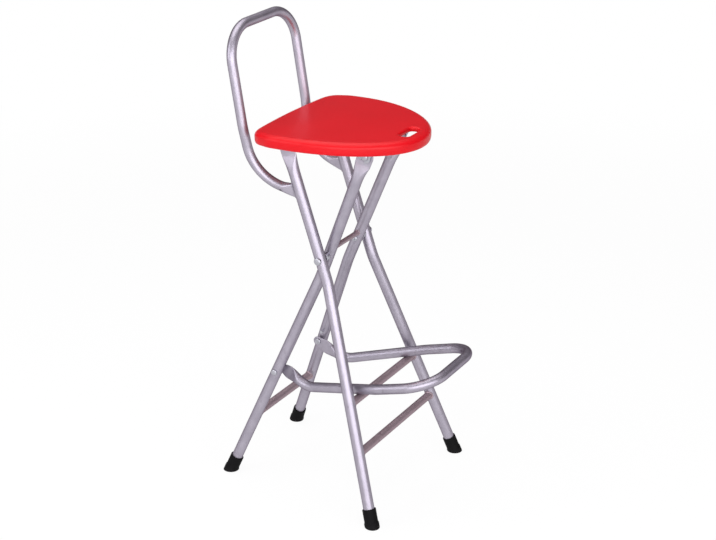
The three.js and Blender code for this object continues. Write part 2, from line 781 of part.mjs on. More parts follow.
const footrestPivotReach = rearFootReach * (1 - footrestPivotHeight / pivotHeight);
const footrestGroup = new THREE.Group();
footrestGroup.position.set(0, footrestPivotReach, footrestPivotHeight);
addPiece(footrestGroup, 'footrest_loop', footrestSolid(footrestPivotReach), silver);

// Seat shell, in a group whose origin is on the hinge axis at the outer legs' tops

function seatOutline() {
  const nose = new THREE.Vector2(0, -seatNoseReach);
  const widest = new THREE.Vector2(seatHalfWidth, -seatWidestReach);
  const corner = new THREE.Vector2(seatCornerHalfWidth, seatCornerReach);
  const backMiddle = new THREE.Vector2(0, seatBackReach);
  const backTurn = new THREE.Vector2(seatCornerHalfWidth * backTurnShare, seatBackReach);
  const sideEnd = corner.clone().add(
    widest.clone().sub(corner).setLength(seatCornerRound));
  const backStart = corner.clone().add(
    backTurn.clone().sub(corner).setLength(seatCornerRound));
  const flank = widest.clone().lerp(new THREE.Vector2(seatHalfWidth, seatCornerReach), 1 / 2);
  const noseSide = THREE.MathUtils.lerp(seatWidestReach, seatNoseReach, noseDepthShare);
  const curves = [
    [noseSteps, nose, nose.clone().setX(seatHalfWidth * noseWidthShare),
      widest.clone().setY(-noseSide), widest],
    [flankSteps, widest, flank, flank, sideEnd],
    [cornerSteps, sideEnd, sideEnd.clone().lerp(corner, cornerPullShare),
      backStart.clone().lerp(corner, cornerPullShare), backStart],
    [backSteps, backStart, backStart.clone().lerp(backTurn, 1 / 2),
      backMiddle.clone().setX(seatCornerHalfWidth * backPullShare), backMiddle],
  ];
  return curves.flatMap(([steps, ...ends], index) => {
    const points = new THREE.CubicBezierCurve(...ends).getSpacedPoints(steps);
    return index === 0 ? points : points.slice(1);
  });
}

function seatRing() {
  const half = seatOutline();
  const right = half.map((point) => [point.x, point.y]);
  const left = half.slice(1, -1).reverse().map((point) => [-point.x, point.y]);
  return [...right, ...left];
}

// The outline drawn in by a distance square to itself
function drawnIn(ring, distance) {
  return ring.map(([x, y], index) => {
    const before = ring[(index + ring.length - 1) % ring.length];
    const after = ring[(index + 1) % ring.length];
    const run = new THREE.Vector2(after[0] - before[0], after[1] - before[1]).normalize();
    return [x - run.y * distance, y + run.x * distance];
  });
}

const seatTop = seatHeight - hingeHeight;
const seatEdgeTop = seatTop - seatCrown - seatArch;
const seatFoot = seatTop - seatDepth;
const seatMiddleReach = (seatNoseReach - seatBackReach) / 2;
const seatHalfLength = (seatNoseReach + seatBackReach) / 2;

// The whole shell bows along its length: how far a place stands above the nose and the back edge
const archAt = (y) => seatArch * (1 - ((y + seatMiddleReach) / seatHalfLength) ** 2);

function crownRings(ring, level, crown, shares) {
  return shares.map((share) => ring.map(([x, edgeY]) => {
    const y = -seatMiddleReach + (edgeY + seatMiddleReach) * share;
    return vector(x * share, y, level + archAt(y) + crown * (1 - share ** 2));
  }));
}

const levelRing = (ring, level) => ring.map(([x, y]) => vector(x, y, level + archAt(y)));

function seatBody() {
  const outline = seatRing();
  const rings = [];
  for (let step = 0; step <= footSteps; step += 1) {
    const angle = (step / footSteps) * Math.PI / 2;
    rings.push(levelRing(
      drawnIn(outline, seatFootDraw * (1 - Math.sin(angle))),
      seatFoot + seatFootRise * (1 - Math.cos(angle)),
    ));
  }
  for (let step = 0; step <= roundSteps + 1; step += 1) {
    const angle = (step / (roundSteps + 1)) * Math.PI / 2;
    rings.push(levelRing(
      drawnIn(outline, seatEdgeWidth * (1 - Math.cos(angle))),
      seatEdgeTop - seatEdgeRise * (1 - Math.sin(angle)),
    ));
  }
  const top = drawnIn(outline, seatEdgeWidth);
  rings.push(...crownRings(top, seatEdgeTop, seatCrown, crownShares));
  return solidOf(loft(rings));
}

function seatCavity() {
  const outline = seatRing();
  const innerWidth = seatEdgeWidth - seatWall;
  const innerRise = seatEdgeRise - seatWall;
  const ceiling = seatEdgeTop - seatTopWall;
  const mouth = drawnIn(outline, seatWall + seatFootDraw);
  const rings = [
    levelRing(mouth, seatFoot - overrun),
    levelRing(mouth, seatFoot),
  ];
  for (let step = 0; step <= roundSteps - 1; step += 1) {
    const angle = (step / (roundSteps - 1)) * Math.PI / 2;
    rings.push(levelRing(
      drawnIn(outline, seatWall + innerWidth * (1 - Math.cos(angle))),
      ceiling - innerRise * (1 - Math.sin(angle)),
    ));
  }
  const top = drawnIn(outline, seatEdgeWidth);
  rings.push(...crownRings(top, ceiling, seatCrown, ceilingShares));
  return solidOf(loft(rings));
}

// A slot-shaped ring about the hand slot's middle, grown by a distance
function slotRing(grow, level) {
  const radius = slotWidth / 2 + grow;
  const reach = slotLength / 2 - slotWidth / 2;
  return Array.from({ length: tubeSides }, (_, step) => {
    const angle = 2 * Math.PI * (step + 0.5) / tubeSides;
    return vector(
      Math.sign(Math.cos(angle)) * reach + radius * Math.cos(angle),
      -slotReach + radius * Math.sin(angle),
      level,
    );
  });
}

const slotTop = seatEdgeTop + seatCrown + archAt(-slotReach);

function slotCutter() {
  const collarFoot = slotTop - slotCollarDepth;
  const rings = [slotRing(0, collarFoot - overrun)];
  for (let step = 0; step <= roundSteps + 1; step += 1) {
    const angle = (step / (roundSteps + 1)) * Math.PI / 2;
    rings.push(slotRing(
      slotEdgeRadius * (1 - Math.cos(angle)),
      slotTop - slotEdgeRadius * (1 - Math.sin(angle)),
    ));
  }
  rings.push(slotRing(slotEdgeRadius, slotTop + overrun));
  return solidOf(loft(rings));
}

// Underside: ribs between the bracket bays, a pad under each bracket, and a collar round the slot

const hingeFlangeX = outerTopHalfSpan - legPress - gap - bracketGauge / 2;
const hookFlangeX = innerTopHalfSpan + legPress + gap + bracketGauge / 2;
const hookReach = hingeReach + pinReach;
const padFoot = seatEdgeTop - seatTopWall - padHeight;
const hingeBaseX = hingeFlangeX + bracketGauge / 2 - bracketBase / 2;
const hookBaseX = hookFlangeX + bracketGauge / 2 - bracketBase / 2;
const bracketBays = [
  { key: 'hinge', x: hingeBaseX, y: 0 },
  { key: 'hook', x: hookBaseX, y: -hookReach },
];

function seatSolid() {
  const body = seatBody();
  let fittings = solidOf(loft([
    slotRing(slotCollarWall + slotEdgeRadius, slotTop - seatCrown),
    slotRing(slotCollarWall, slotTop - slotCollarDepth),
  ]));
  const ribTop = seatTop;
  const ribFoot = seatEdgeTop - seatTopWall - ribDepth;
  const addRib = (fromX, fromY, toX, toY) => {
    fittings = fittings.add(box(vector(fromX, fromY, ribFoot), vector(toX, toY, ribTop)));
  };
  const waist = -hookReach / 2;
  for (const share of spineShares) {
    const x = share * spinePitch;
    addRib(x - ribWall / 2, -ribFrontReach, x + ribWall / 2, seatBackReach);
  }
  for (const share of crossRibShares) {
    const y = waist + share * ribPitch;
    const half = share === 0 ? seatHalfWidth : spinePitch;
    addRib(-half, y - ribWall / 2, half, y + ribWall / 2);
  }
  for (const side of Object.values(sides)) {
    for (const bay of bracketBays) {
      const half = bracketBase / 2 + ribWall;
      const pad = box(
        vector(side * bay.x - half, bay.y - bracketLength / 2, padFoot),
        vector(side * bay.x + half, bay.y + bracketLength / 2, ribTop),
      );
      fittings = fittings.add(pad);
    }
  }
  let seat = body.subtract(seatCavity()).add(fittings.intersect(seatBody()));
  seat = seat.subtract(slotCutter());
  for (const side of Object.values(sides)) {
    for (const bay of bracketBays) {
      for (const share of screwShares) {
        const y = bay.y + share * screwSpacing;
        seat = seat.subtract(rod(screwDiameter / 2 + boreClearance,
          vector(side * bay.x, y, padFoot - overrun),
          vector(side * bay.x, y, padFoot + screwLength - bracketGauge), screwSides));
      }
    }
  }
  return seat;
}

const seatGroup = new THREE.Group();
seatGroup.position.set(0, hingeReach, hingeHeight);
addPiece(seatGroup, 'seat', seatSolid(), redPlastic);

// Brackets: bent sheet, a base against the seat's pad and a flange beside the leg's flat top

function bentSheet() {
  const top = padFoot - gap;
  const reach = bracketBase;
  const turn = bracketBend;
  const section = new THREE.Shape();
  section.moveTo(0, -bracketDrop);
  section.lineTo(0, top - turn);
  section.absarc(turn, top - turn, turn, Math.PI, Math.PI / 2, true);
  section.lineTo(reach, top);
  section.lineTo(reach, top - bracketGauge);
  section.lineTo(turn, top - bracketGauge);
  section.absarc(turn, top - turn, turn - bracketGauge, Math.PI / 2, Math.PI, false);
  section.lineTo(bracketGauge, -bracketDrop);
  const geometry = new THREE.ExtrudeGeometry(section, {
    depth: bracketLength, bevelEnabled: false, curveSegments: roundSteps,
  });
  geometry.rotateX(Math.PI / 2);
  geometry.translate(0, bracketLength / 2, 0);
  return mirrored(solidOf(geometry));
}

// The flange narrows from the base to a round end about the pin
function flangeMask(depth) {
  const halfBase = bracketLength / 2 + overrun;
  const top = padFoot + overrun;
  const outline = new THREE.Shape();
  outline.moveTo(-halfBase, top);
  outline.lineTo(-halfBase, padFoot - gap - bracketBend);
  outline.lineTo(-bracketDrop, 0);
  outline.absarc(0, 0, bracketDrop, Math.PI, 2 * Math.PI, false);
  outline.lineTo(halfBase, padFoot - gap - bracketBend);
  outline.lineTo(halfBase, top);
  const geometry = new THREE.ExtrudeGeometry(outline, {
    depth, bevelEnabled: false, curveSegments: pinSides / 2,
  });
  geometry.rotateX(Math.PI / 2);
  geometry.rotateZ(Math.PI / 2);
  geometry.translate(-depth / 2, 0, 0);
  return solidOf(geometry);
}

function screwHoles(x) {
  let holes = null;
  for (const share of screwShares) {
    const hole = rod(screwDiameter / 2 + boreClearance,
      vector(x, share * screwSpacing, padFoot - bracketBend - overrun - bracketGauge),
      vector(x, share * screwSpacing, padFoot + overrun), boreSides);
    holes = holes ? holes.add(hole) : hole;
  }
  return holes;
}

// Hinge bracket: base turned inward, a round hole for the hinge rivet
function hingeBracket(side) {
  const mask = flangeMask(4 * bracketBase);
  const bore = rod(seatRivetDiameter / 2 + boreClearance,
    vector(-bracketBase, 0, 0), vector(bracketBase, 0, 0), boreSides);
  const sheet = bentSheet().intersect(mask).subtract(bore)
    .subtract(screwHoles(-bracketBase / 2));
  return side > 0 ? sheet : mirrored(sheet);
}

// Hook bracket: base turned inward over the leg's top, a slanted notch that opens downward and to the rear
function hookBracket(side) {
  const mask = flangeMask(4 * bracketBase);
  const radius = seatRivetDiameter / 2 + 2 * boreClearance;
  const lean = radians(hookLeanDegrees);
  const reach = 2 * bracketDrop;
  const eye = rod(radius, vector(-bracketBase, 0, 0), vector(bracketBase, 0, 0), pinSides);
  const mouth = new THREE.BoxGeometry(2 * bracketBase, 2 * radius, reach);
  mouth.translate(0, 0, -reach / 2);
  mouth.rotateX(lean);
  const sheet = bentSheet().intersect(mask).subtract(eye).subtract(solidOf(mouth))
    .subtract(screwHoles(-bracketBase / 2));
  return side > 0 ? sheet : mirrored(sheet);
}

function screwSolid() {
  const shank = screwDiameter / 2;
  const head = screwHeadDiameter / 2;
  const points = [
    [0, -screwHeadHeight], [head * screwRimShare, -screwHeadHeight], [head, -screwHeadHeight / 2], [head, 0],
    [shank, 0], [shank, screwLength - shank], [0, screwLength - shank / 2],
  ].map(([radius, rise]) => new THREE.Vector2(radius, rise));
  const geometry = new THREE.LatheGeometry(points, screwSides);
  geometry.rotateX(Math.PI / 2);
  return geometry;
}

for (const [name, side] of Object.entries(sides)) {
  const hinge = addPiece(seatGroup, `seat_hinge_bracket_${name}`, hingeBracket(side), zinc);
  hinge.position.x = side * (hingeFlangeX + bracketGauge / 2);
  const hook = addPiece(seatGroup, `seat_hook_bracket_${name}`, hookBracket(side), zinc);
  hook.position.set(side * (hookFlangeX + bracketGauge / 2), -hookReach, 0);

  for (const bay of bracketBays) {
    screwShares.forEach((share, index) => {
      const place = index === 0 ? 'front' : 'rear';
      const screw = addPiece(seatGroup, `${bay.key}_screw_${place}_${name}`, screwSolid(), zinc);
      screw.position.set(side * bay.x, bay.y + share * screwSpacing,
        padFoot - gap - bracketGauge - gap);
    });
  }

  const hingeRivet = rivetSolid(seatRivetDiameter / 2, [
    { at: side * (outerTopHalfSpan + legPress + gap), outward: side, skirt: 0,
      headRadius: seatHeadDiameter / 2, headHeight: seatHeadHeight },
    { at: side * (hingeFlangeX - bracketGauge / 2 - gap), outward: -side, skirt: 0,
      headRadius: seatHeadDiameter / 2, headHeight: seatHeadHeight },
  ], []);
  const hingeMesh = addPiece(outerFrame, `seat_hinge_rivet_${name}`, hingeRivet, zinc);
  hingeMesh.position.z = outerHinge;

  const hookPin = rivetSolid(seatRivetDiameter / 2, [
    { at: side * (hookFlangeX + bracketGauge / 2 + gap), outward: side, skirt: 0,
      headRadius: seatHeadDiameter / 2, headHeight: seatHeadHeight },
    { at: side * (innerTopHalfSpan - legPress - gap), outward: -side, skirt: 0,
      headRadius: seatHeadDiameter / 2, headHeight: seatHeadHeight },
  ], []);
  const pinMesh = addPiece(innerFrame, `seat_hook_pin_${name}`, hookPin, zinc);
  pinMesh.position.z = innerPin;
}

// The whole stool, shifted so that the origin lies under the middle of its box

const frontMost = footrestReach + footrestRadius;
const rearMost = rearFootReach + (capDiameter / 2 + capFlare) / Math.cos(innerRake);
const stool = new THREE.Group();
stool.position.y = (frontMost - rearMost) / 2;
addPiece(stool, 'backrest_hoop', hoopSolid(), silver);
stool.add(outerFrame, innerFrame, footrestGroup, seatGroup);

export default stool;
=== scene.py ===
import math

import bmesh
import bpy
from mathutils import Matrix, Vector, noise


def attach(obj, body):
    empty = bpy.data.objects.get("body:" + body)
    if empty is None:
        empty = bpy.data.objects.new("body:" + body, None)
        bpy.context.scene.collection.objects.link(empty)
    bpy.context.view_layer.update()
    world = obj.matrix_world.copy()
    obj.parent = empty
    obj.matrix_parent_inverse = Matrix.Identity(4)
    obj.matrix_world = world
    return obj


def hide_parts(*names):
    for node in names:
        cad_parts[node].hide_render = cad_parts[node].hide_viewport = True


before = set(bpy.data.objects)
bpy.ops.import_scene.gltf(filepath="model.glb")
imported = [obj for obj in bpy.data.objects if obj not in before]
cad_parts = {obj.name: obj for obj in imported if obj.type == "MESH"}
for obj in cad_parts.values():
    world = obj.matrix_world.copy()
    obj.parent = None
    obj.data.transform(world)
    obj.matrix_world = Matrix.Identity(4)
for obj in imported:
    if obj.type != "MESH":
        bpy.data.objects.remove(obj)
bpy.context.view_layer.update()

# Lengths are in millimetres until makePiece puts a shape in its place in the room

stance = {
    "pivotHeight": 494.3,
    "hingeHeight": 710.0,  # the seat's hinges and the hooks' pins
    "hingeReach": 72.09,
    "pinReach": 86.71,
    "footrestPivotHeight": 233.4,
    "frontMost": 256.5,
    "capHalf": 14.7,
    "gap": 0.3,
}

shaping = {
    "sides": 56,
    "holeSides": 40,
    "bendStep": 2.5,  # degrees of a bend between two rings
    "leastStep": 0.02,
    "tipShare": 0.02,
    "cutterWeld": 0.0005,
    "pieceWeld": 0.000001,  # in metres
    "bevelSegments": 2,
    "bevelAngle": 40.0,
    "sharpAngle": 38.0,
}

toMetres = 0.001
tiny = 1e-9
fullTurn = 2 * math.pi
leftRight = {"Left": -1, "Right": 1}
gap = stance["gap"]
pivotHeight = stance["pivotHeight"]
topRise = stance["hingeHeight"] - pivotHeight
frontFootReach = stance["hingeReach"] * pivotHeight / topRise
rearFootReach = stance["pinReach"] * pivotHeight / topRise
outerRake = math.atan(frontFootReach / pivotHeight)
innerRake = math.atan(rearFootReach / pivotHeight)
shift = (stance["frontMost"] - rearFootReach - stance["capHalf"] / math.cos(innerRake)) / 2

stoolPlace = Matrix.Translation((0, shift, 0))
outerPlace = Matrix.Translation((0, shift, pivotHeight)) @ Matrix.Rotation(-outerRake, 4, "X")
innerPlace = Matrix.Translation((0, shift, pivotHeight)) @ Matrix.Rotation(innerRake, 4, "X")
seatPlace = Matrix.Translation((0, shift + stance["hingeReach"], stance["hingeHeight"]))


def alongOuter(height):
    return (height - pivotHeight) / math.cos(outerRake)


def alongInner(height):
    return (height - pivotHeight) / math.cos(innerRake)


def lerp(low, high, share):
    return low + (high - low) * share


def eased(share):
    share = min(max(share, 0.0), 1.0)
    return share * share * (3.0 - 2.0 * share)


def turns(count, offset=0.0):
    return [fullTurn * (step + offset) / count for step in range(count)]


def evenly(start, run, steps):
    return [start + run * step / steps for step in range(steps + 1)]


def roundedEnd(radius, steps):
    # distances from a rounded end, closer together toward it
    return [radius * (1 - math.sin(math.pi / 2 * step / steps)) for step in range(steps)]


def offAxis(vector, axis):
    return vector - axis * vector.dot(axis)


# Shader maths


class Wire:
    def __init__(self, board, socket):
        self.board = board
        self.socket = socket

    def mixed(self, other, operation, swapped=False):
        pair = (other, self) if swapped else (self, other)
        kinds = {item.socket.type for item in pair if isinstance(item, Wire)}
        width = 4 if "RGBA" in kinds else 3 if "VECTOR" in kinds else 1
        if width > 1:
            pair = [item if isinstance(item, Wire) else spread(item, width) for item in pair]
        if width == 4:
            return blend(self.board, 1.0, *pair, operation)
        kind = "ShaderNodeVectorMath" if width == 3 else "ShaderNodeMath"
        return self.board.add(kind, {"operation": operation}, dict(enumerate(pair)))

    def __add__(self, other):
        return self.mixed(other, "ADD")

    def __sub__(self, other):
        return self.mixed(other, "SUBTRACT")

    def __rsub__(self, other):
        return self.mixed(other, "SUBTRACT", True)

    def __mul__(self, other):
        return self.mixed(other, "MULTIPLY")

    __radd__ = __add__
    __rmul__ = __mul__


def spread(value, count):
    if isinstance(value, (int, float)):
        return (value,) * count
    return tuple(value) + (1.0,) * (count - len(value))


def paint(red, green, blue):
    # a colour as it is seen on a screen, from 0 to 255
    def light(value):
        value = value / 255
        return value / 12.92 if value <= 0.04045 else ((value + 0.055) / 1.055) ** 2.4
    return light(red), light(green), light(blue), 1.0


class Board:
    # the nodes of a material or of the world
    def __init__(self, owner, spot="Object"):
        owner.use_nodes = True
        self.owner = owner
        self.tree = owner.node_tree
        self.tree.nodes.clear()
        self.spot = self.add("ShaderNodeTexCoord", out=spot)

    def add(self, kind, settings=None, sockets=None, out=0):
        node = self.tree.nodes.new(kind)
        for key, value in (settings or {}).items():
            if key == "stops":
                while len(node.color_ramp.elements) < len(value):
                    node.color_ramp.elements.new(0.5)
                for element, (place, colour) in zip(node.color_ramp.elements, value):
                    element.position = place
                    element.color = spread(colour, 4)
            else:
                setattr(node, key, value)
        for key, value in (sockets or {}).items():
            if isinstance(value, Wire):
                self.tree.links.new(value.socket, node.inputs[key])
            else:
                node.inputs[key].default_value = value
        return Wire(self, node.outputs[out]) if len(node.outputs) else None


def blend(board, factor, low, high, way="MIX"):
    settings = {"data_type": "RGBA", "blend_type": way}
    return board.add("ShaderNodeMix", settings, {0: factor, 6: low, 7: high}, 2)


def grain(board, scale, detail=2.0, roughness=0.5, stretch=None):
    vector = board.spot * stretch if stretch else board.spot
    return board.add("ShaderNodeTexNoise", {}, {
        "Vector": vector, "Scale": scale, "Detail": detail, "Roughness": roughness})


def windowed(board, value, low, high):
    # 0 below low, 1 above high, smooth between them
    return board.add("ShaderNodeMapRange", {"interpolation_type": "SMOOTHSTEP"}, {
        "Value": value, "From Min": low, "From Max": high})


def heightIn(board):
    return board.add("ShaderNodeSeparateXYZ", {}, {"Vector": board.spot}, "Z")


def finished(name, look, recipe, slot):
    # the recipe gives the colour and adds layers of its own to the noises
    board = Board(bpy.data.materials.new(name))
    layers = {key: grain(board, *shape) for key, shape in look["noises"].items()}
    sockets = {"Base Color": recipe(board, look, layers), **look["shine"]}
    roughness = look["roughness"]
    for key, share in look["rough"].items():
        roughness = roughness + share * layers[key]
    for key, (strength, distance) in look["bump"].items():
        values = {"Height": layers[key], "Strength": strength, "Distance": distance}
        if "Normal" in sockets:
            values["Normal"] = sockets["Normal"]
        sockets["Normal"] = board.add("ShaderNodeBump", {}, values, "Normal")
    sockets["Roughness"] = roughness
    surface = board.add("ShaderNodeBsdfPrincipled", {}, sockets, "BSDF")
    board.add("ShaderNodeOutputMaterial", {}, {"Surface": surface})
    return board.owner, slot


# Finishes: a noise is its scale, detail, roughness and stretch, a bump is its strength and its
# depth in metres, and the shine goes straight to the shader

coat = {
    "noises": {"mottle": (42.0, 3.0, 0.55), "flake": (5200.0, 1.0), "peel": (620.0, 1.5),
               "rub": (95.0, 4.0, 0.62, (1.0, 1.0, 0.35))},
    "rubEdge": (0.62, 0.74),
    "wornHeight": (0.06, 0.42),
    "wornAloft": 0.25,
    "mottleShare": 0.75,
    "scuffShare": 0.55,
    "rough": {"mottle": 0.10, "flake": 0.05, "worn": 0.16},
    "bump": {"peel": (0.10, 0.0004), "flake": (0.05, 0.0001), "rubbed": (0.06, 0.0002)},
}

silverLook = {
    **coat,
    "pale": paint(186, 180, 192),
    "shade": paint(149, 143, 156),
    "scuff": paint(118, 109, 117),
    "roughness": 0.34,
    "shine": {"Metallic": 0.90, "Specular Tint": (0.12, 0.06, 0.09, 1.0),
              "Specular IOR Level": 0.3, "IOR": 1.45},
}

# the crossbars' coat: a darker, browner copy of the silver coat, whose colours are painted shade;
# rougher, with weld spatter in its bump
barShadeLook = {
    **coat,
    "noises": {**coat["noises"], "spatter": (900.0, 3.0, 0.7)},
    "bump": {**coat["bump"], "spatter": (0.35, 0.0006)},
    "pale": paint(180, 162, 169),
    "shade": paint(152, 134, 141),
    "scuff": paint(112, 94, 99),
    "roughness": 0.46,
    "shine": {"Metallic": 0.80, "Specular Tint": (0.40, 0.28, 0.32, 1.0),
              "Specular IOR Level": 0.3, "IOR": 1.45},
}


def metalCoat(board, look, layers):
    rubbed = windowed(board, layers["rub"], *look["rubEdge"])
    low = 1 - windowed(board, heightIn(board), *look["wornHeight"])
    worn = rubbed * (look["wornAloft"] + (1 - look["wornAloft"]) * low)
    layers.update(rubbed=rubbed, worn=worn)
    share = look["mottleShare"]
    tone = layers["mottle"] * share + layers["flake"] * (1 - share)
    colour = blend(board, tone, look["shade"], look["pale"])
    return blend(board, worn * look["scuffShare"], colour, look["scuff"])


zincLook = {
    "noises": {"cloud": (180.0, 3.0, 0.6), "scratch": (1500.0, 2.0, 0.7, (1.0, 0.12, 1.0))},
    "crystal": {"Scale": 900.0, "Smoothness": 0.6},
    "scratchEdge": (0.55, 0.7),
    "cloudShare": 0.6,
    "crystalShare": 0.5,
    "rough": {"cloud": 0.14, "scratched": 0.10},
    "bump": {"crystal": (0.08, 0.0002), "scratch": (0.12, 0.0001)},
    "pale": paint(196, 195, 202),
    "shade": paint(150, 150, 160),
    "roughness": 0.33,
    "shine": {"Metallic": 0.92},
}


def zincPlate(board, look, layers):
    crystal = board.add("ShaderNodeTexVoronoi", {"feature": "SMOOTH_F1"},
                        {**look["crystal"], "Vector": board.spot}, "Distance")
    scratched = windowed(board, layers["scratch"], *look["scratchEdge"])
    layers.update(crystal=crystal, scratched=scratched)
    tone = layers["cloud"] * look["cloudShare"] + crystal * look["crystalShare"]
    return blend(board, tone, look["shade"], look["pale"])


seatLook = {
    "noises": {"flow": (9.0, 2.0, 0.5), "texture": (2600.0, 2.0, 0.6), "fine": (7000.0, 1.0),
               "warp": (26.0, 1.0), "rub": (130.0, 5.0, 0.7, (1.0, 0.18, 1.0))},
    "rubEdge": (0.66, 0.78),
    "scuffShare": 0.10,
    "rough": {"flow": 0.08, "texture": 0.06, "scuffs": 0.10},
    "bump": {"warp": (0.05, 0.0015), "texture": (0.16, 0.00012), "fine": (0.08, 0.00004)},
    "red": paint(210, 5, 22),
    "deep": paint(198, 4, 17),
    "scuff": paint(222, 84, 92),
    "roughness": 0.31,
    "shine": {"IOR": 1.49, "Specular IOR Level": 0.26},
}


def seatPlastic(board, look, layers):
    layers["scuffs"] = windowed(board, layers["rub"], *look["rubEdge"])
    colour = blend(board, layers["flow"], look["deep"], look["red"])
    return blend(board, layers["scuffs"] * look["scuffShare"], colour, look["scuff"])


rubberLook = {
    "noises": {"cloud": (110.0, 4.0, 0.6), "pores": (2400.0, 2.0, 0.6)},
    "dustHeight": (0.001, 0.016),
    "dustLow": 0.35,
    "dustEdge": (0.55, 0.95),
    "dustShare": 0.18,
    "rough": {"dust": 0.18, "pores": 0.06},
    "bump": {"pores": (0.20, 0.0002), "cloud": (0.08, 0.0006)},
    "black": paint(7, 6, 8),
    "dust": paint(56, 53, 55),
    "roughness": 0.62,
    "shine": {"Specular IOR Level": 0.12},
}


def capRubber(board, look, layers):
    low = 1 - windowed(board, heightIn(board), *look["dustHeight"])
    dust = windowed(board, layers["cloud"] + look["dustLow"] * low, *look["dustEdge"])
    layers["dust"] = dust
    return blend(board, dust * look["dustShare"], look["black"], look["dust"])


silver = finished("satinSilverCoat", silverLook, metalCoat, "silver_tube")
# the crossbars' copy of the coat, darker and browner for painted shade
barShadeSilver = finished("shadedBarCoat", barShadeLook, metalCoat, "silver_tube")
zinc = finished("brightZincPlate", zincLook, zincPlate, "zinc_steel")
red = finished("mouldedRedShell", seatLook, seatPlastic, "red_plastic")
rubber = finished("footCapRubber", rubberLook, capRubber, "black_rubber")
print("finishes mixed")


# Shapes are pairs of points and faces


def merge(*shapes):
    points, faces = [], []
    for morePoints, moreFaces in shapes:
        base = len(points)
        points += morePoints
        faces += [tuple(base + index for index in face) for face in moreFaces]
    return points, faces


def moved(shape, place):
    return [place @ point for point in shape[0]], shape[1]


def flipped(shape, side):
    if side > 0:
        return shape
    return [Vector((-point.x, point.y, point.z)) for point in shape[0]], shape[1]


def skin(rings, closing="caps"):
    count = len(rings[0])
    faces = []
    for ring in range(len(rings) if closing == "loop" else len(rings) - 1):
        here, there = ring * count, (ring + 1) % len(rings) * count
        for step in range(count):
            beside = (step + 1) % count
            faces.append((here + step, here + beside, there + beside, there + step))
    if closing == "caps":
        faces.append(tuple(range(count)))
        faces.append(tuple(range((len(rings) - 1) * count, len(rings) * count)))
    return [point for ring in rings for point in ring], faces


def frameAt(origin, heading):
    # a place whose Z runs along the heading
    return Matrix.Translation(origin) @ heading.to_track_quat("Z", "Y").to_matrix().to_4x4()


def sidewaysAt(x, side=1):
    return frameAt(Vector((x, 0, 0)), Vector((side, 0, 0)))


def lathe(profile, sides=shaping["sides"]):
    # pairs of radius and distance, turned about Z
    rings = [[Vector((radius * math.cos(turn), radius * math.sin(turn), rise))
              for turn in turns(sides)] for radius, rise in profile]
    points, faces = skin(rings, "open")
    for ring, (radius, rise) in ((0, profile[0]), (len(rings) - 1, profile[-1])):
        if radius > 0:
            faces.append(tuple(range(ring * sides, (ring + 1) * sides)))
    return points, faces


def bow(centre, radii, start, end, steps):
    # points of an arc in a profile, angles in degrees
    arc = [math.radians(lerp(start, end, step / steps)) for step in range(steps + 1)]
    return [(centre[0] + radii[0] * math.cos(turn), centre[1] + radii[1] * math.sin(turn))
            for turn in arc]


def drawnAlong(axis, section, start, end):
    rings = []
    for place in (start, end):
        rings.append([Vector((place, a, b)) if axis == "X" else Vector((a, place, b))
                      for a, b in section])
    return skin(rings)


def meshOf(name, shape, weldWithin):
    mesh = bpy.data.meshes.new(name)
    mesh.from_pydata([tuple(point) for point in shape[0]], [], shape[1])
    work = bmesh.new()
    work.from_mesh(mesh)
    bmesh.ops.remove_doubles(work, verts=work.verts, dist=weldWithin)
    bmesh.ops.recalc_face_normals(work, faces=work.faces)
    for face in work.faces:
        face.smooth = True
    work.to_mesh(mesh)
    work.free()
    return mesh


def inScene(name, data):
    thing = bpy.data.objects.new(name, data)
    bpy.context.scene.collection.objects.link(thing)
    return thing


def helperObject(shape):
    return inScene("helper", meshOf("helper", shape, shaping["cutterWeld"]))


def carved(shape, cuts, bevel=0.0):
    # boolean cuts, then a small rounded edge
    base = helperObject(shape)
    helpers = [base]
    for operation, cutter in cuts:
        helper = helperObject(cutter)
        helpers.append(helper)
        modifier = base.modifiers.new("cut", "BOOLEAN")
        modifier.operation = operation
        modifier.solver = "EXACT"
        modifier.object = helper
    if bevel:
        modifier = base.modifiers.new("edge", "BEVEL")
        modifier.width = bevel
        modifier.segments = shaping["bevelSegments"]
        modifier.limit_method = "ANGLE"
        modifier.angle_limit = math.radians(shaping["bevelAngle"])
    graph = bpy.context.evaluated_depsgraph_get()
    mesh = base.evaluated_get(graph).to_mesh()
    points = [vertex.co.copy() for vertex in mesh.vertices]
    faces = [tuple(polygon.vertices) for polygon in mesh.polygons]
    for helper in helpers:
        bpy.data.meshes.remove(helper.data)
    return points, faces


def nodeOf(name):
    # the frame's name of a piece: outerLegLeft is outer_leg_left
    return "".join("_" + letter.lower() if letter.isupper() else letter for letter in name)


def makePiece(name, shape, place, finish, body, node=None, sharp=shaping["sharpAngle"]):
    points = [(place @ point) * toMetres for point in shape[0]]
    mesh = meshOf(name, (points, shape[1]), shaping["pieceWeld"])
    mesh.set_sharp_from_angle(angle=math.radians(sharp))
    material, slot = finish
    mesh.materials.append(material)
    piece = inScene(name, mesh)
    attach(piece, body)
    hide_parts(node or nodeOf(name))
    return piece


# Bent tubes


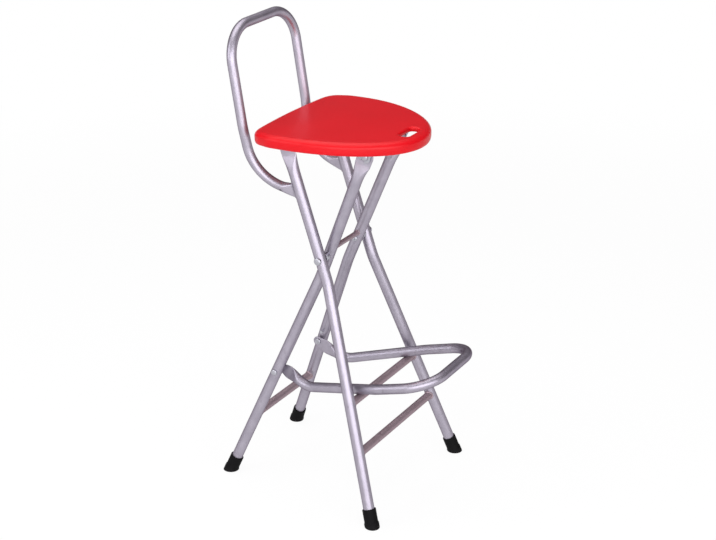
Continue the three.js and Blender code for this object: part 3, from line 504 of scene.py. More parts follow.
class Route:
    # straight runs joined by arcs, one radius for each inner corner
    def __init__(self, corners, radii):
        self.runs = []
        start = corners[0]
        for index, radius in enumerate(radii, 1):
            before = (corners[index] - corners[index - 1]).normalized()
            after = (corners[index + 1] - corners[index]).normalized()
            turn = before.angle(after)
            axis = before.cross(after).normalized()
            setback = radius * math.tan(turn / 2)
            bendStart = corners[index] - before * setback
            arm = axis.cross(before) * -radius
            self.runs.append({"start": start, "heading": before,
                              "length": (bendStart - start).length, "turn": 0})
            self.runs.append({"start": bendStart - arm, "heading": before, "length": radius * turn,
                              "turn": turn, "axis": axis, "arm": arm, "radius": radius})
            start = corners[index] + after * setback
        last = corners[-1] - start
        self.runs.append({"start": start, "heading": last.normalized(),
                          "length": last.length, "turn": 0})
        self.length = sum(run["length"] for run in self.runs)

    def at(self, distance):
        for run in self.runs:
            if distance <= run["length"] or run is self.runs[-1]:
                break
            distance -= run["length"]
        if not run["turn"]:
            return run["start"] + run["heading"] * distance, run["heading"]
        spin = Matrix.Rotation(distance / run["radius"], 3, run["axis"])
        return run["start"] + spin @ run["arm"], spin @ run["heading"]

    def ends(self, setback):
        return (-1, setback), (1, self.length - setback)

    def stops(self):
        found, walked = [0.0], 0.0
        for run in self.runs:
            steps = max(1, math.ceil(math.degrees(run["turn"]) / shaping["bendStep"]))
            found += [walked + run["length"] * step / steps for step in range(1, steps + 1)]
            walked += run["length"]
        return found


def squeezedWidth(radius, halfThin):
    return halfThin + (radius - halfThin) * math.pi / 2


def squeezedRing(point, wide, thin, halves, sides):
    # two half circles and the flats between them
    halfWide, halfThin = halves
    ring = []
    for turn in turns(sides, 0.5):
        along = math.copysign(halfWide - halfThin, math.cos(turn)) + halfThin * math.cos(turn)
        ring.append(point + wide * along + thin * (halfThin * math.sin(turn)))
    return ring


def sweptTube(route, stops, sizeAt):
    # a squeezed tube is thin along its thin axis, which starts along X
    stops = sorted(stops)
    places = [stop for index, stop in enumerate(stops)
              if index == 0 or stop - stops[index - 1] > shaping["leastStep"]]
    thin, heading, rings = Vector((1, 0, 0)), None, []
    for stop in places:
        point, ahead = route.at(stop)
        if heading:
            thin = heading.rotation_difference(ahead) @ thin
        heading = ahead
        thin = offAxis(thin, heading).normalized()
        rings.append(squeezedRing(point, heading.cross(thin), thin, sizeAt(stop),
                                  shaping["sides"]))
    return skin(rings)


weld = {
    "sides": 12,
    "width": 1.25,  # of the bead, against its height
    "ripple": 0.11,
    "pitch": 2.3,
    "lump": 0.35,
    "lumpScale": 0.16,
}


def weldBead(starts, heading, legPoint, legHeading, size, seed):
    # a rippled bead along the seam where the tube through the starts meets a leg
    seam = []
    for start in starts:
        side, reach = offAxis(heading, legHeading), offAxis(start - legPoint, legHeading)
        a, b, c = side.dot(side), 2 * side.dot(reach), reach.dot(reach) - legRadius ** 2
        root = math.sqrt(max(b * b - 4 * a * c, 0.0))
        seam.append(start + heading * ((-b - root) / (2 * a)))
    middle = sum(seam, Vector()) / len(seam)
    rings, walked = [], 0.0
    for index, point in enumerate(seam):
        before, after = seam[index - 1], seam[(index + 1) % len(seam)]
        walked += (point - before).length
        tangent = (after - before).normalized()
        legOut = offAxis(point - legPoint, legHeading).normalized()
        tubeOut = offAxis(point - middle, heading).normalized()
        out = offAxis((legOut + tubeOut).normalized(), tangent).normalized()
        across = tangent.cross(out)
        lump = noise.noise(point * weld["lumpScale"] + Vector((seed, 0, 0)))
        ripple = weld["ripple"] * math.cos(fullTurn * walked / weld["pitch"])
        bead = size * (1 + (ripple + weld["lump"] * lump))
        rings.append([point + out * (bead * math.cos(turn))
                      + across * (weld["width"] * bead * math.sin(turn))
                      for turn in turns(weld["sides"])])
    return skin(rings, "loop")


# Legs: round at the foot, pressed flat to a rounded end at the top

legs = {
    "radius": 11.0,
    "bend": 130.0,
    "press": 1.3,
    "flatReach": 17.2,
    "taper": 41.4,
    "taperSteps": 20,
    "endSteps": 18,
    "capFloor": 7.0,
    "outer": {"foot": 174.6, "top": 85.6, "bendHeight": 447.0},
    "inner": {"foot": 126.2, "waist": 51.7, "top": 63.5, "bendHeight": 444.0, "kneeDrop": 36.0},
}

legRadius = legs["radius"]
flatRound = squeezedWidth(legRadius, legs["press"])
outerHinge = alongOuter(stance["hingeHeight"])
innerPin = alongInner(stance["hingeHeight"])
outerBend = alongOuter(legs["outer"]["bendHeight"])
innerBend = alongInner(legs["inner"]["bendHeight"])


def outerCorners(side):
    spec = legs["outer"]
    return [Vector((side * spec["foot"], 0, alongOuter(0))),
            Vector((side * spec["top"], 0, outerBend)),
            Vector((side * spec["top"], 0, outerHinge + flatRound))]


def innerCorners(side):
    spec = legs["inner"]
    return [Vector((side * spec["foot"], 0, alongInner(0))),
            Vector((side * spec["waist"], 0, innerBend)),
            Vector((side * spec["top"], 0, innerPin - spec["kneeDrop"])),
            Vector((side * spec["top"], 0, innerPin + flatRound))]


def legTube(corners):
    route = Route(corners, [legs["bend"]] * (len(corners) - 2))
    flatEnd = route.length
    flatStart = flatEnd - flatRound - legs["flatReach"]
    taperStart = flatStart - legs["taper"]
    tip = flatRound * shaping["tipShare"]

    def sizeAt(distance):
        share = min(max((distance - taperStart) / legs["taper"], 0.0), 1.0)
        halfThin = lerp(legRadius, legs["press"], share * share)
        left = max(tip, flatEnd - distance)
        if left >= flatRound:
            return squeezedWidth(legRadius, halfThin), halfThin
        return math.sqrt(flatRound ** 2 - (flatRound - left) ** 2), halfThin

    stops = [stop for stop in route.stops() if legs["capFloor"] < stop < flatEnd - flatRound]
    stops += [legs["capFloor"] + gap, flatStart, flatEnd - flatRound]
    stops += evenly(taperStart, legs["taper"], legs["taperSteps"])
    stops += [flatEnd - distance for distance in roundedEnd(flatRound, legs["endSteps"])]
    stops.append(flatEnd - tip)
    return sweptTube(route, stops, sizeAt)


# each frame: its corners, the distance along it at a height, and its place
frames = {
    "outer": (outerCorners, alongOuter, outerPlace),
    "inner": (innerCorners, alongInner, innerPlace),
}

for sideName, side in leftRight.items():
    for key, (cornersOf, along, place) in frames.items():
        makePiece(key + "Leg" + sideName, legTube(cornersOf(side)), place, silver,
                  key + "_frame")
print("legs bent and pressed")


# Crossbars and the brace rod, with a weld bead at each end

bars = {
    "outerUpperCrossbar": {"frame": "outer", "height": 226.0, "radius": 8.0, "bead": 1.7},
    "outerLowerCrossbar": {"frame": "outer", "height": 134.9, "radius": 8.0, "bead": 1.7},
    "innerCrossbar": {"frame": "inner", "height": 134.4, "radius": 8.0, "bead": 1.7},
    "innerBraceRod": {"frame": "inner", "height": 506.5, "radius": 5.0, "bead": 1.3},
}

barSeam = {"steps": 132, "seedStep": 3.7}


def legRun(corners, along):
    first = 0 if along < corners[1].z else 1
    start, end = corners[first], corners[first + 1]
    return start.lerp(end, (along - start.z) / (end.z - start.z)), (end - start).normalized()


def crossbar(spec, cornersOf, along, seed):
    radius = spec["radius"]
    reach = abs(legRun(cornersOf(1), along)[0].x)
    middle = frameAt(Vector((0, 0, along)), Vector((1, 0, 0)))
    parts = [moved(lathe([(radius, -reach), (radius, reach)]), middle)]
    starts = [Vector((0, radius * math.cos(turn), along + radius * math.sin(turn)))
              for turn in turns(barSeam["steps"])]
    for side in (-1, 1):
        point, heading = legRun(cornersOf(side), along)
        parts.append(weldBead(starts, Vector((side, 0, 0)), point, heading,
                              spec["bead"], seed + side))
    return merge(*parts)


# the crossbars take the coat with painted shade
for order, (name, spec) in enumerate(bars.items()):
    cornersOf, along, place = frames[spec["frame"]]
    shape = crossbar(spec, cornersOf, along(spec["height"]), barSeam["seedStep"] * order)
    makePiece(name, shape, place, barShadeSilver, spec["frame"] + "_frame")
print("crossbars welded in")


# Rubber caps, cut level by the floor

caps = {
    "radius": 13.5,
    "flare": 1.2,
    "length": 36.0,
    "edge": 0.8,
    "lip": 1.2,
    "skirt": [(0.0, 7.9), (-0.5, 8.8)],  # past the flare, and the height
    "bodyStart": 10.2,
    "mouth": [(0.4, 0.2), (-0.6, 2.0)],  # past the leg's radius, and the depth
    "grooves": [(0.01, 0.9), (3.0, 0.9), (3.6, 0.0), (5.6, 0.0), (6.2, 0.9), (7.8, 0.9),
                (8.4, 0.0), (10.6, 0.0), (11.0, 0.7), (11.9, 0.7), (12.3, 0.0)],
    "sides": 72,
    "arcSteps": 5,
}


def footCap(base, heading, spec):
    across = heading.cross(Vector((0, 0, 1))).normalized()
    beside = heading.cross(across)
    wall = spec["radius"] + spec["flare"]
    top, lip, edge, steps = (spec[key] for key in ("length", "lip", "edge", "arcSteps"))

    def ring(radius, rise=None, lift=None):
        points = []
        for turn in turns(spec["sides"]):
            radial = (across * math.cos(turn) + beside * math.sin(turn)) * radius
            along = rise if lift is None else (lift - radial.z) / heading.z
            points.append(base + radial + heading * along)
        return points

    sole = spec["grooves"] + bow((wall - edge, edge), (edge, edge), -90, 0, steps)
    rings = [ring(radius, lift=lift) for radius, lift in sole]
    rings += [ring(wall + past, rise=rise) for past, rise in spec["skirt"]]
    rings.append(ring(spec["radius"], rise=spec["bodyStart"]))
    rings += [ring(radius, rise=rise) for radius, rise in
              bow((spec["radius"] - lip, top - lip), (lip, lip), 0, 90, steps)]
    rings += [ring(legRadius + past, rise=top - depth) for past, depth in spec["mouth"]]
    return skin(rings)


for sideName, side in leftRight.items():
    for kind, key in (("front", "outer"), ("rear", "inner")):
        cornersOf, along, place = frames[key]
        foot, bend = (place @ corner for corner in cornersOf(side)[:2])
        shape = footCap(foot, (bend - foot).normalized(), caps)
        makePiece(kind + "FootCap" + sideName, shape, Matrix(), rubber, key + "_frame")
print("foot caps pushed on")


# Rivets, pins and spacers

def tubeSkirt(radius):
    # how far a head reaches down round a leg
    return legRadius - math.sqrt(legRadius ** 2 - radius ** 2)


# heads and skirts are the outer one's and the inner one's
fixings = {
    "pivot": {"shank": 4.0, "heads": (7.5, 6.0), "skirts": (tubeSkirt(7.5), 0.5), "height": 4.0},
    "pivotSpacer": {"radius": 8.5, "chamfer": 0.5},
    "footrest": {"shank": 3.5, "heads": (6.5, 6.5), "skirts": (tubeSkirt(6.5), 0.0),
                 "height": 3.4},
    "footrestSpacer": {"radius": 6.5, "length": 4.7, "chamfer": 0.4},
    "stop": {"radius": 3.0, "reach": 27.0, "length": 8.5, "edge": 0.8, "edgeSteps": 4},
    "seatRivet": {"shank": 3.5, "heads": (6.5, 6.5), "skirts": (0.0, 0.0), "height": 2.8},
    "shankSides": 32,
}

dome = {"rim": 0.3, "chamfer": 0.3, "start": 4, "steps": 18}  # rim: of the head's height


def domedHead(radius, height, skirt):
    rim, chamfer = dome["rim"] * height, dome["chamfer"]
    profile = [(0, -skirt), (radius - chamfer, -skirt), (radius, chamfer - skirt), (radius, rim)]
    profile += bow((0, rim), (radius, height - rim), dome["start"], 90, dome["steps"])
    return lathe(profile[:-1] + [(0, height)])


def rivet(spec, side, outer, inner):
    # outer and inner: where its ends are across
    parts = [moved(domedHead(radius, spec["height"], skirt), sidewaysAt(side * at, facing))
             for radius, skirt, at, facing in zip(spec["heads"], spec["skirts"],
                                                  (outer, inner), (side, -side))]
    shank, half = spec["shank"], (outer - inner) / 2
    parts.append(moved(lathe([(shank, -half), (shank, half)], fixings["shankSides"]),
                       sidewaysAt(side * (outer + inner) / 2)))
    return merge(*parts)


def spacer(spec, side, outer, inner):
    radius, chamfer, half = spec["radius"], spec["chamfer"], (outer - inner) / 2
    profile = [(0, -half), (radius - chamfer, -half), (radius, chamfer - half),
               (radius, half - chamfer), (radius - chamfer, half), (0, half)]
    return moved(lathe(profile), sidewaysAt(side * (outer + inner) / 2))


def stopPin(spec, side):
    place = legRun(innerCorners(side), footrestPivot + spec["reach"])[0]
    radius, tip, edge = spec["radius"], spec["length"], spec["edge"]
    profile = [(0, -legRadius / 2), (radius, -legRadius / 2), (radius, tip - edge)]
    profile += bow((radius - edge, tip - edge), (edge, edge), 0, 90, spec["edgeSteps"])
    face = Vector((place.x - side * slantRadius, 0, place.z))
    return moved(lathe(profile + [(0, tip)], shaping["holeSides"]),
                 frameAt(face, Vector((-side, 0, 0))))


press = legs["press"]
gauge = 2.5
outerTop, innerTop = legs["outer"]["top"], legs["inner"]["top"]
hingeFlangeX = outerTop - press - gap - gauge / 2
hookFlangeX = innerTop + press + gap + gauge / 2
footrestPivot = alongInner(stance["footrestPivotHeight"])
footrestPlace = innerPlace @ Matrix.Translation((0, 0, footrestPivot))
hingePlace = outerPlace @ Matrix.Translation((0, 0, outerHinge))
hookPlace = innerPlace @ Matrix.Translation((0, 0, innerPin))
legSlant = math.atan((legs["inner"]["foot"] - legs["inner"]["waist"])
                     / (innerBend - alongInner(0)))
slantRadius = legRadius / math.cos(legSlant)
pivotLegX = legRun(innerCorners(1), 0)[0].x
footrestLegX = legRun(innerCorners(1), footrestPivot)[0].x
tabOuter = footrestLegX - slantRadius - fixings["footrestSpacer"]["length"]
tabHalf = 1.2
tabX = tabOuter - gap - tabHalf


def fittedTo(side):
    clear = legRadius + gap
    return {
        "pivotRivet": (rivet(fixings["pivot"], side, outerTop + clear, pivotLegX - clear),
                       outerPlace, "outer_frame"),
        "pivotSpacer": (spacer(fixings["pivotSpacer"], side, outerTop - clear,
                               pivotLegX + clear), outerPlace, "outer_frame"),
        "footrestRivet": (rivet(fixings["footrest"], side, footrestLegX + slantRadius,
                                tabX - tabHalf - gap), footrestPlace, "inner_frame"),
        "footrestSpacer": (spacer(fixings["footrestSpacer"], side,
                                  footrestLegX - legRadius / 2, tabOuter),
                           footrestPlace, "inner_frame"),
        "footrestStop": (stopPin(fixings["stop"], side), innerPlace, "inner_frame"),
        "seatHingeRivet": (rivet(fixings["seatRivet"], side, outerTop + press + gap,
                                 hingeFlangeX - gauge / 2 - gap), hingePlace, "outer_frame"),
        "seatHookPin": (rivet(fixings["seatRivet"], side, hookFlangeX + gauge / 2 + gap,
                              innerTop - press - gap), hookPlace, "inner_frame"),
    }


for sideName, side in leftRight.items():
    for name, (shape, place, body) in fittedTo(side).items():
        makePiece(name + sideName, shape, place, zinc, body)
print("rivets, pins and spacers set")


# Backrest hoop

hoop = {
    "radius": 9.5,
    "halfWidth": 111.0,
    "neck": 99.5,
    "top": 926.0,
    "corner": 66.0,
    "join": 624.5,
    "kneeReach": 136.7,
    "kneeHeight": 639.8,
    "kneeBend": 92.0,
    "shoulderHeight": 742.0,
    "shoulderReach": 153.1,
    "shoulderBend": 160.0,
    "lean": 9.1,
    "squeeze": 3.0,
    "taper": 30.0,
    "taperSteps": 18,
    "bead": 1.9,
    "seam": {"setback": 17.0, "steps": 140, "seed": 21.0},
    "drain": {"radius": 2.5, "setback": 37.0, "tilt": 55.0},
}

drainShape = {"start": 0.5, "past": 6.0, "sides": 24}


def drainCut(point, outward, radius, tube):
    profile = [(radius, drainShape["start"]), (radius, tube + drainShape["past"])]
    return "DIFFERENCE", moved(lathe(profile, drainShape["sides"]), frameAt(point, outward))


def backrestHoop(spec):
    joinReach = frontFootReach * (spec["join"] / pivotHeight - 1)
    lean = math.tan(math.radians(spec["lean"]))
    topReach = spec["shoulderReach"] + (spec["top"] - spec["shoulderHeight"]) * lean

    def half(side):
        return [Vector((side * outerTop, joinReach, spec["join"])),
                Vector((side * spec["neck"], spec["kneeReach"], spec["kneeHeight"])),
                Vector((side * spec["halfWidth"], spec["shoulderReach"], spec["shoulderHeight"])),
                Vector((side * spec["halfWidth"], topReach, spec["top"]))]

    bends = [spec["kneeBend"], spec["shoulderBend"], spec["corner"]]
    route = Route(half(-1) + half(1)[::-1], bends + bends[::-1])

    def sizeAt(distance):
        fromEnd = min(distance, route.length - distance) - legRadius
        halfThin = lerp(spec["squeeze"], spec["radius"], eased(fromEnd / spec["taper"]))
        return squeezedWidth(spec["radius"], halfThin), halfThin

    stops = route.stops()
    for distance in evenly(legRadius, spec["taper"], spec["taperSteps"]):
        stops += [distance, route.length - distance]
    drain, seam = spec["drain"], spec["seam"]
    tilt = math.radians(drain["tilt"])
    cuts = []
    for side, distance in route.ends(drain["setback"]):
        outward = Vector((side * math.sin(tilt), 0, -math.cos(tilt)))
        cuts.append(drainCut(route.at(distance)[0], outward, drain["radius"], spec["radius"]))
    parts = [carved(sweptTube(route, stops, sizeAt), cuts)]
    legHeading = Vector((0, frontFootReach, pivotHeight)).normalized()
    for side, distance in route.ends(seam["setback"]):
        point, heading = route.at(distance)
        thin = offAxis(Vector((1, 0, 0)), heading).normalized()
        starts = squeezedRing(point, heading.cross(thin), thin, sizeAt(distance), seam["steps"])
        parts.append(weldBead(starts, heading * side, half(side)[0], legHeading,
                              spec["bead"], seam["seed"] + side))
    return merge(*parts)


makePiece("backrestHoop", backrestHoop(hoop), stoolPlace, silver, "outer_frame")
print("backrest hoop bent and welded")


# Footrest loop, on its pivot axis

footrest = {
    "radius": 10.0,
    "reach": 246.45,
    "halfWidth": 102.5,
    "corner": 60.0,
    "flareEnd": 132.0,
    "rise": 16.2,
    "kneeRun": 63.0,
    "kneeBend": 52.0,
    "tab": 30.0,
    "tabRound": 10.5,
    "tabTaper": 30.0,
    "taperSteps": 18,
    "tabSteps": 8,
    "endSteps": 16,
    "vent": {"radius": 2.5, "setback": 100.0},
}

footrestPivotHeight = stance["footrestPivotHeight"]
pivotReach = rearFootReach * (1 - footrestPivotHeight / pivotHeight)
loopPlace = Matrix.Translation((0, shift + pivotReach, footrestPivotHeight))


def footrestLoop(spec):
    bar = bars["outerUpperCrossbar"]
    radius, tab, tabRound = spec["radius"], spec["tab"], spec["tabRound"]
    lean = math.radians(spec["rise"])
    restReach = frontFootReach * (1 - bar["height"] / pivotHeight)
    restHeight = bar["height"] + (bar["radius"] + radius + gap) / math.cos(lean)

    def heightAt(forward):
        return restHeight + (forward - restReach) * math.tan(lean) - footrestPivotHeight

    def sidePoint(side, forward):
        return Vector((side * spec["halfWidth"], -(forward + pivotReach), heightAt(forward)))

    knee = Vector((0, -spec["kneeRun"], heightAt(spec["kneeRun"] - pivotReach)))
    outward = knee.normalized()
    kneeShare = (spec["kneeRun"] - tab) / (spec["flareEnd"] + pivotReach - tab)
    kneeX = lerp(tabX, spec["halfWidth"], kneeShare)

    def half(side):
        across = Vector((side * tabX, 0, 0))
        return [across - outward * tabRound, across + outward * tab,
                Vector((side * kneeX, knee.y, knee.z)),
                sidePoint(side, spec["flareEnd"]), sidePoint(side, spec["reach"])]

    bends = [spec["kneeBend"], spec["kneeBend"], spec["corner"], spec["corner"]]
    route = Route(half(-1) + half(1)[::-1], bends + bends[::-1])
    tip = tabRound * shaping["tipShare"]

    def sizeAt(distance):
        fromEnd = max(tip, min(distance, route.length - distance))
        halfThin = lerp(tabHalf, radius, eased((fromEnd - tab) / spec["tabTaper"]))
        if fromEnd < tabRound:
            return math.sqrt(tabRound ** 2 - (tabRound - fromEnd) ** 2), halfThin
        widen = eased((fromEnd - tabRound) / (tab - tabRound))
        return lerp(tabRound, squeezedWidth(radius, halfThin), widen), halfThin

    stops = [stop for stop in route.stops() if tip < stop < route.length - tip]
    near = [tip] + evenly(tab, spec["tabTaper"], spec["taperSteps"])
    near += [lerp(tabRound, tab, share) for share in evenly(0, 1, spec["tabSteps"])]
    near += roundedEnd(tabRound, spec["endSteps"])
    for distance in near:
        stops += [distance, route.length - distance]
    vent, down = spec["vent"], Vector((0, 0, -1))
    cuts = [drainCut(route.at(distance)[0], down, vent["radius"], radius)
            for side, distance in route.ends(vent["setback"])]
    return carved(sweptTube(route, stops, sizeAt), cuts)


makePiece("footrestLoop", footrestLoop(footrest), loopPlace, silver, "footrest")
print("footrest loop bent")


# Seat shell: one closed skin round the hand slot, with ribs and pads below

seat = {
    "top": 44.0,
    "depth": 29.5,
    "nose": 247.5,
    "back": 53.2,
    "halfWidth": 154.3,
    "widestReach": 32.3,
    "cornerHalfWidth": 146.1,
    "cornerReach": 38.6,
    "cornerRound": 26.3,
    "noseWidth": 0.55,
    "noseDepth": 0.55,
    "cornerPull": 0.68,
    "backPull": 0.22,
    "backTurn": 0.67,
    "curveSteps": (300, 100, 120, 160),  # nose, flank, corner, back
    "around": 320,
    "softening": 8,
    "wall": 3.2,
    "topWall": 4.0,
    "arch": 4.0,
    "crown": 1.6,
    "rollWidth": 14.0,
    "rollRise": 10.0,
    "rollSteps": 18,
    "footDraw": 3.0,
    "footRise": 8.0,
    "footSteps": 8,
    "mouthEdge": 0.6,
    "topSteps": 28,
    "hollowSteps": 14,
    "sharpAngle": 50.0,
}

ribs = {
    "wall": 2.4,
    "depth": 13.0,
    "draft": 0.25,
    "edge": (0.4, 0.5),  # across and up
    "sink": 1.0,  # how far they run into the shell
    "steps": 24,
    "spinePitch": 30.0,
    "spineFront": 150.0,
    "crossPitch": 44.0,
}

pads = {"height": 5.0, "corner": 2.0, "cornerSteps": 5, "draft": 0.3, "edge": 0.6}

slot = {
    "setback": 32.5,
    "length": 56.0,
    "width": 21.0,
    "edge": 4.5,
    "edgeSteps": 9,
    "collarWall": 3.0,
    "collarDepth": 10.0,
    "collarEdge": 0.8,
    "collarSteps": 3,
}

edgeTop = seat["top"] - seat["crown"] - seat["arch"]
seatFoot = seat["top"] - seat["depth"]
ceiling = edgeTop - seat["topWall"]
slotReach = seat["nose"] - slot["setback"]
hookReach = stance["hingeReach"] + stance["pinReach"]


def bezier(a, b, c, d, steps):
    return [a * (1 - t) ** 3 + b * (3 * t * (1 - t) ** 2) + c * (3 * t * t * (1 - t)) + d * t ** 3
            for t in evenly(0, 1, steps)[:-1]]


def seatOutline(spec):
    nose = Vector((0, -spec["nose"]))
    widest = Vector((spec["halfWidth"], -spec["widestReach"]))
    corner = Vector((spec["cornerHalfWidth"], spec["cornerReach"]))
    backMiddle = Vector((0, spec["back"]))
    backTurn = Vector((spec["cornerHalfWidth"] * spec["backTurn"], spec["back"]))
    sideEnd = corner + (widest - corner).normalized() * spec["cornerRound"]
    backStart = corner + (backTurn - corner).normalized() * spec["cornerRound"]
    flank = widest.lerp(Vector((spec["halfWidth"], spec["cornerReach"])), 0.5)
    noseSide = lerp(spec["widestReach"], spec["nose"], spec["noseDepth"])
    noseSteps, flankSteps, cornerSteps, backSteps = spec["curveSteps"]
    half = bezier(nose, Vector((spec["halfWidth"] * spec["noseWidth"], -spec["nose"])),
                  Vector((spec["halfWidth"], -noseSide)), widest, noseSteps)
    half += bezier(widest, flank, flank, sideEnd, flankSteps)
    half += bezier(sideEnd, sideEnd.lerp(corner, spec["cornerPull"]),
                   backStart.lerp(corner, spec["cornerPull"]), backStart, cornerSteps)
    half += bezier(backStart, backStart.lerp(backTurn, 0.5),
                   Vector((spec["cornerHalfWidth"] * spec["backPull"], spec["back"])),
                   backMiddle, backSteps)
    whole = half + [backMiddle] + [Vector((-point.x, point.y)) for point in half[:0:-1]]
    return evened(whole, spec["around"], spec["softening"])


def evened(loop, count, softening):
    # equal steps round the loop, with its small kinks smoothed
    lengths = [0.0]
    for index, point in enumerate(loop):
        lengths.append(lengths[-1] + (loop[(index + 1) % len(loop)] - point).length)
    points, index = [], 0
    for step in range(count):
        goal = lengths[-1] * step / count
        while lengths[index + 1] < goal:
            index += 1
        share = (goal - lengths[index]) / (lengths[index + 1] - lengths[index])
        points.append(loop[index].lerp(loop[(index + 1) % len(loop)], share))
    for turn in range(softening):
        points = [(points[index - 1] + points[index] * 2 + points[(index + 1) % count]) / 4
                  for index in range(count)]
    return points


outline = seatOutline(seat)


def drawnIn(distance):
    count = len(outline)
    ring = []
    for index, point in enumerate(outline):
        run = (outline[(index + 1) % count] - outline[index - 1]).normalized()
        ring.append(Vector((point.x - run.y * distance, point.y + run.x * distance)))
    return ring


def slotRing(grow):
    # the stadium round the slot, one point toward each point of the outline
    reach = (slot["length"] - slot["width"]) / 2
    radius = slot["width"] / 2 + grow
    ring = []
    for point in outline:
        ray = (point - Vector((0, -slotReach))).normalized()
        if abs(ray.y) > tiny and abs(ray.x / ray.y) * radius <= reach:
            distance = radius / abs(ray.y)
        else:
            centre = math.copysign(reach, ray.x)
            along = ray.x * centre
            distance = along + math.sqrt(max(along * along - reach * reach + radius * radius, 0.0))
        ring.append(Vector((ray.x * distance, -slotReach + ray.y * distance)))
    return ring


seatMiddle = Vector((0, -(seat["nose"] - seat["back"]) / 2))
seatHalf = (seat["nose"] + seat["back"]) / 2
rimTable = sorted((math.atan2(point.y - seatMiddle.y, point.x - seatMiddle.x),
                   (point - seatMiddle).length) for point in drawnIn(seat["rollWidth"]))


def crownAt(point):
    # height of the crowned top above its rim
    bearing = math.atan2(point.y - seatMiddle.y, point.x - seatMiddle.x)
    low, high = rimTable[-1], rimTable[0]
    start, end = low[0] - fullTurn, high[0]
    for index in range(len(rimTable) - 1):
        if rimTable[index][0] <= bearing <= rimTable[index + 1][0]:
            low, high = rimTable[index], rimTable[index + 1]
            start, end = low[0], high[0]
            break
    else:
        if bearing > rimTable[-1][0]:
            bearing -= fullTurn
    share = (bearing - start) / max(end - start, tiny)
    reach = (point - seatMiddle).length / lerp(low[1], high[1], share)
    return seat["crown"] * max(1 - reach * reach, 0.0)


def levelled(ring, height):
    return [Vector((point.x, point.y, height)) for point in ring]


def crowned(ring, height):
    return [Vector((point.x, point.y, height + crownAt(point))) for point in ring]


def between(first, second, share):
    return [a.lerp(b, share) for a, b in zip(first, second)]


def archAt(y):
    # how far the bowed shell stands above its nose and its back edge
    return seat["arch"] * (1 - ((y - seatMiddle.y) / seatHalf) ** 2)


def seatShell():
    rings = []

    def addLevel(profile, ringOf):
        rings.extend(levelled(ringOf(offset), height) for offset, height in profile)

    draw, rise = seat["footDraw"], seat["footRise"]
    addLevel(bow((draw, seatFoot + rise), (draw, rise), 270, 180, seat["footSteps"]), drawnIn)
    width, rollRise = seat["rollWidth"], seat["rollRise"]
    addLevel(bow((width, edgeTop - rollRise), (width, rollRise), 180, 90, seat["rollSteps"]),
             drawnIn)
    rim, slotEdge, topSteps = drawnIn(width), slot["edge"], seat["topSteps"]
    slotRim = slotRing(slotEdge)
    for step in range(1, topSteps):
        rings.append(crowned(between(rim, slotRim, step / topSteps), edgeTop))
    surface = crowned(slotRim, edgeTop)
    for grow, drop in bow((slotEdge, -slotEdge), (slotEdge, slotEdge), 90, 180,
                          slot["edgeSteps"]):
        rings.append([Vector((point.x, point.y, top.z + drop))
                      for point, top in zip(slotRing(grow), surface)])
    collarFoot = edgeTop + seat["crown"] - slot["collarDepth"]
    edge, steps = slot["collarEdge"], slot["collarSteps"]
    addLevel(bow((edge, collarFoot + edge), (edge, edge), 180, 270, steps), slotRing)
    addLevel(bow((slot["collarWall"] - edge, collarFoot + edge), (edge, edge), 270, 360, steps),
             slotRing)
    collarTop = slotRing(slot["collarWall"] + slotEdge)
    for share in evenly(0, 1, seat["hollowSteps"]):
        rings.append(crowned(between(collarTop, rim, share), ceiling))
    inner = (width - seat["wall"], rollRise - seat["wall"])
    addLevel(bow((width, ceiling - inner[1]), inner, 90, 180, seat["footSteps"]), drawnIn)
    mouth, mouthEdge = seat["wall"] + draw, seat["mouthEdge"]
    addLevel([(mouth, seatFoot + mouthEdge), (mouth - mouthEdge, seatFoot)], drawnIn)
    points, faces = skin(rings, "loop")
    return [point + Vector((0, 0, archAt(point.y))) for point in points], faces


def roundedRing(x0, x1, y0, y1, radius, height, steps):
    ring = []
    corners = ((x1 - radius, y1 - radius, 0), (x0 + radius, y1 - radius, 90),
               (x0 + radius, y0 + radius, 180), (x1 - radius, y0 + radius, 270))
    for x, y, start in corners:
        ring += [Vector((a, b, height))
                 for a, b in bow((x, y), (radius, radius), start, start + 90, steps)]
    return ring


def hollowTop(x, y):
    # height of the hollow's ceiling, which rolls down toward the walls
    spot = Vector((x, y))
    inset = min((spot - point).length for point in outline)
    share = min(max((inset - seat["wall"]) / (seat["rollWidth"] - seat["wall"]), 0.0), 1.0)
    roll = (seat["rollRise"] - seat["wall"]) * (1 - math.sqrt(1 - (1 - share) ** 2))
    return ceiling + archAt(y) + crownAt(spot) - roll


def rib(start, end):
    # a drafted rib, thinner at its foot, that runs up into the shell's top
    foot = ceiling - ribs["depth"]
    half, wide = ribs["wall"] / 2, ribs["wall"] / 2 + ribs["draft"]
    inset, lift = ribs["edge"]
    across = Vector((start[1] - end[1], end[0] - start[0])).normalized()
    rings = []
    for share in evenly(0, 1, ribs["steps"]):
        x, y = lerp(start[0], end[0], share), lerp(start[1], end[1], share)
        top = hollowTop(x, y) + ribs["sink"]
        section = ((-wide, top), (-half, foot + lift), (inset - half, foot),
                   (half - inset, foot), (half, foot + lift), (wide, top))
        rings.append([Vector((x + across.x * aside, y + across.y * aside, height))
                      for aside, height in section])
    return skin(rings)


def innerHalfWidth(y):
    # half the hollow's width at a place along the seat
    wall = drawnIn(seat["wall"])
    best = 0.0
    for index, point in enumerate(wall):
        before = wall[index - 1]
        if (point.y - y) * (before.y - y) <= 0 and point.y != before.y:
            best = max(best, lerp(before.x, point.x, (y - before.y) / (point.y - before.y)))
    return best


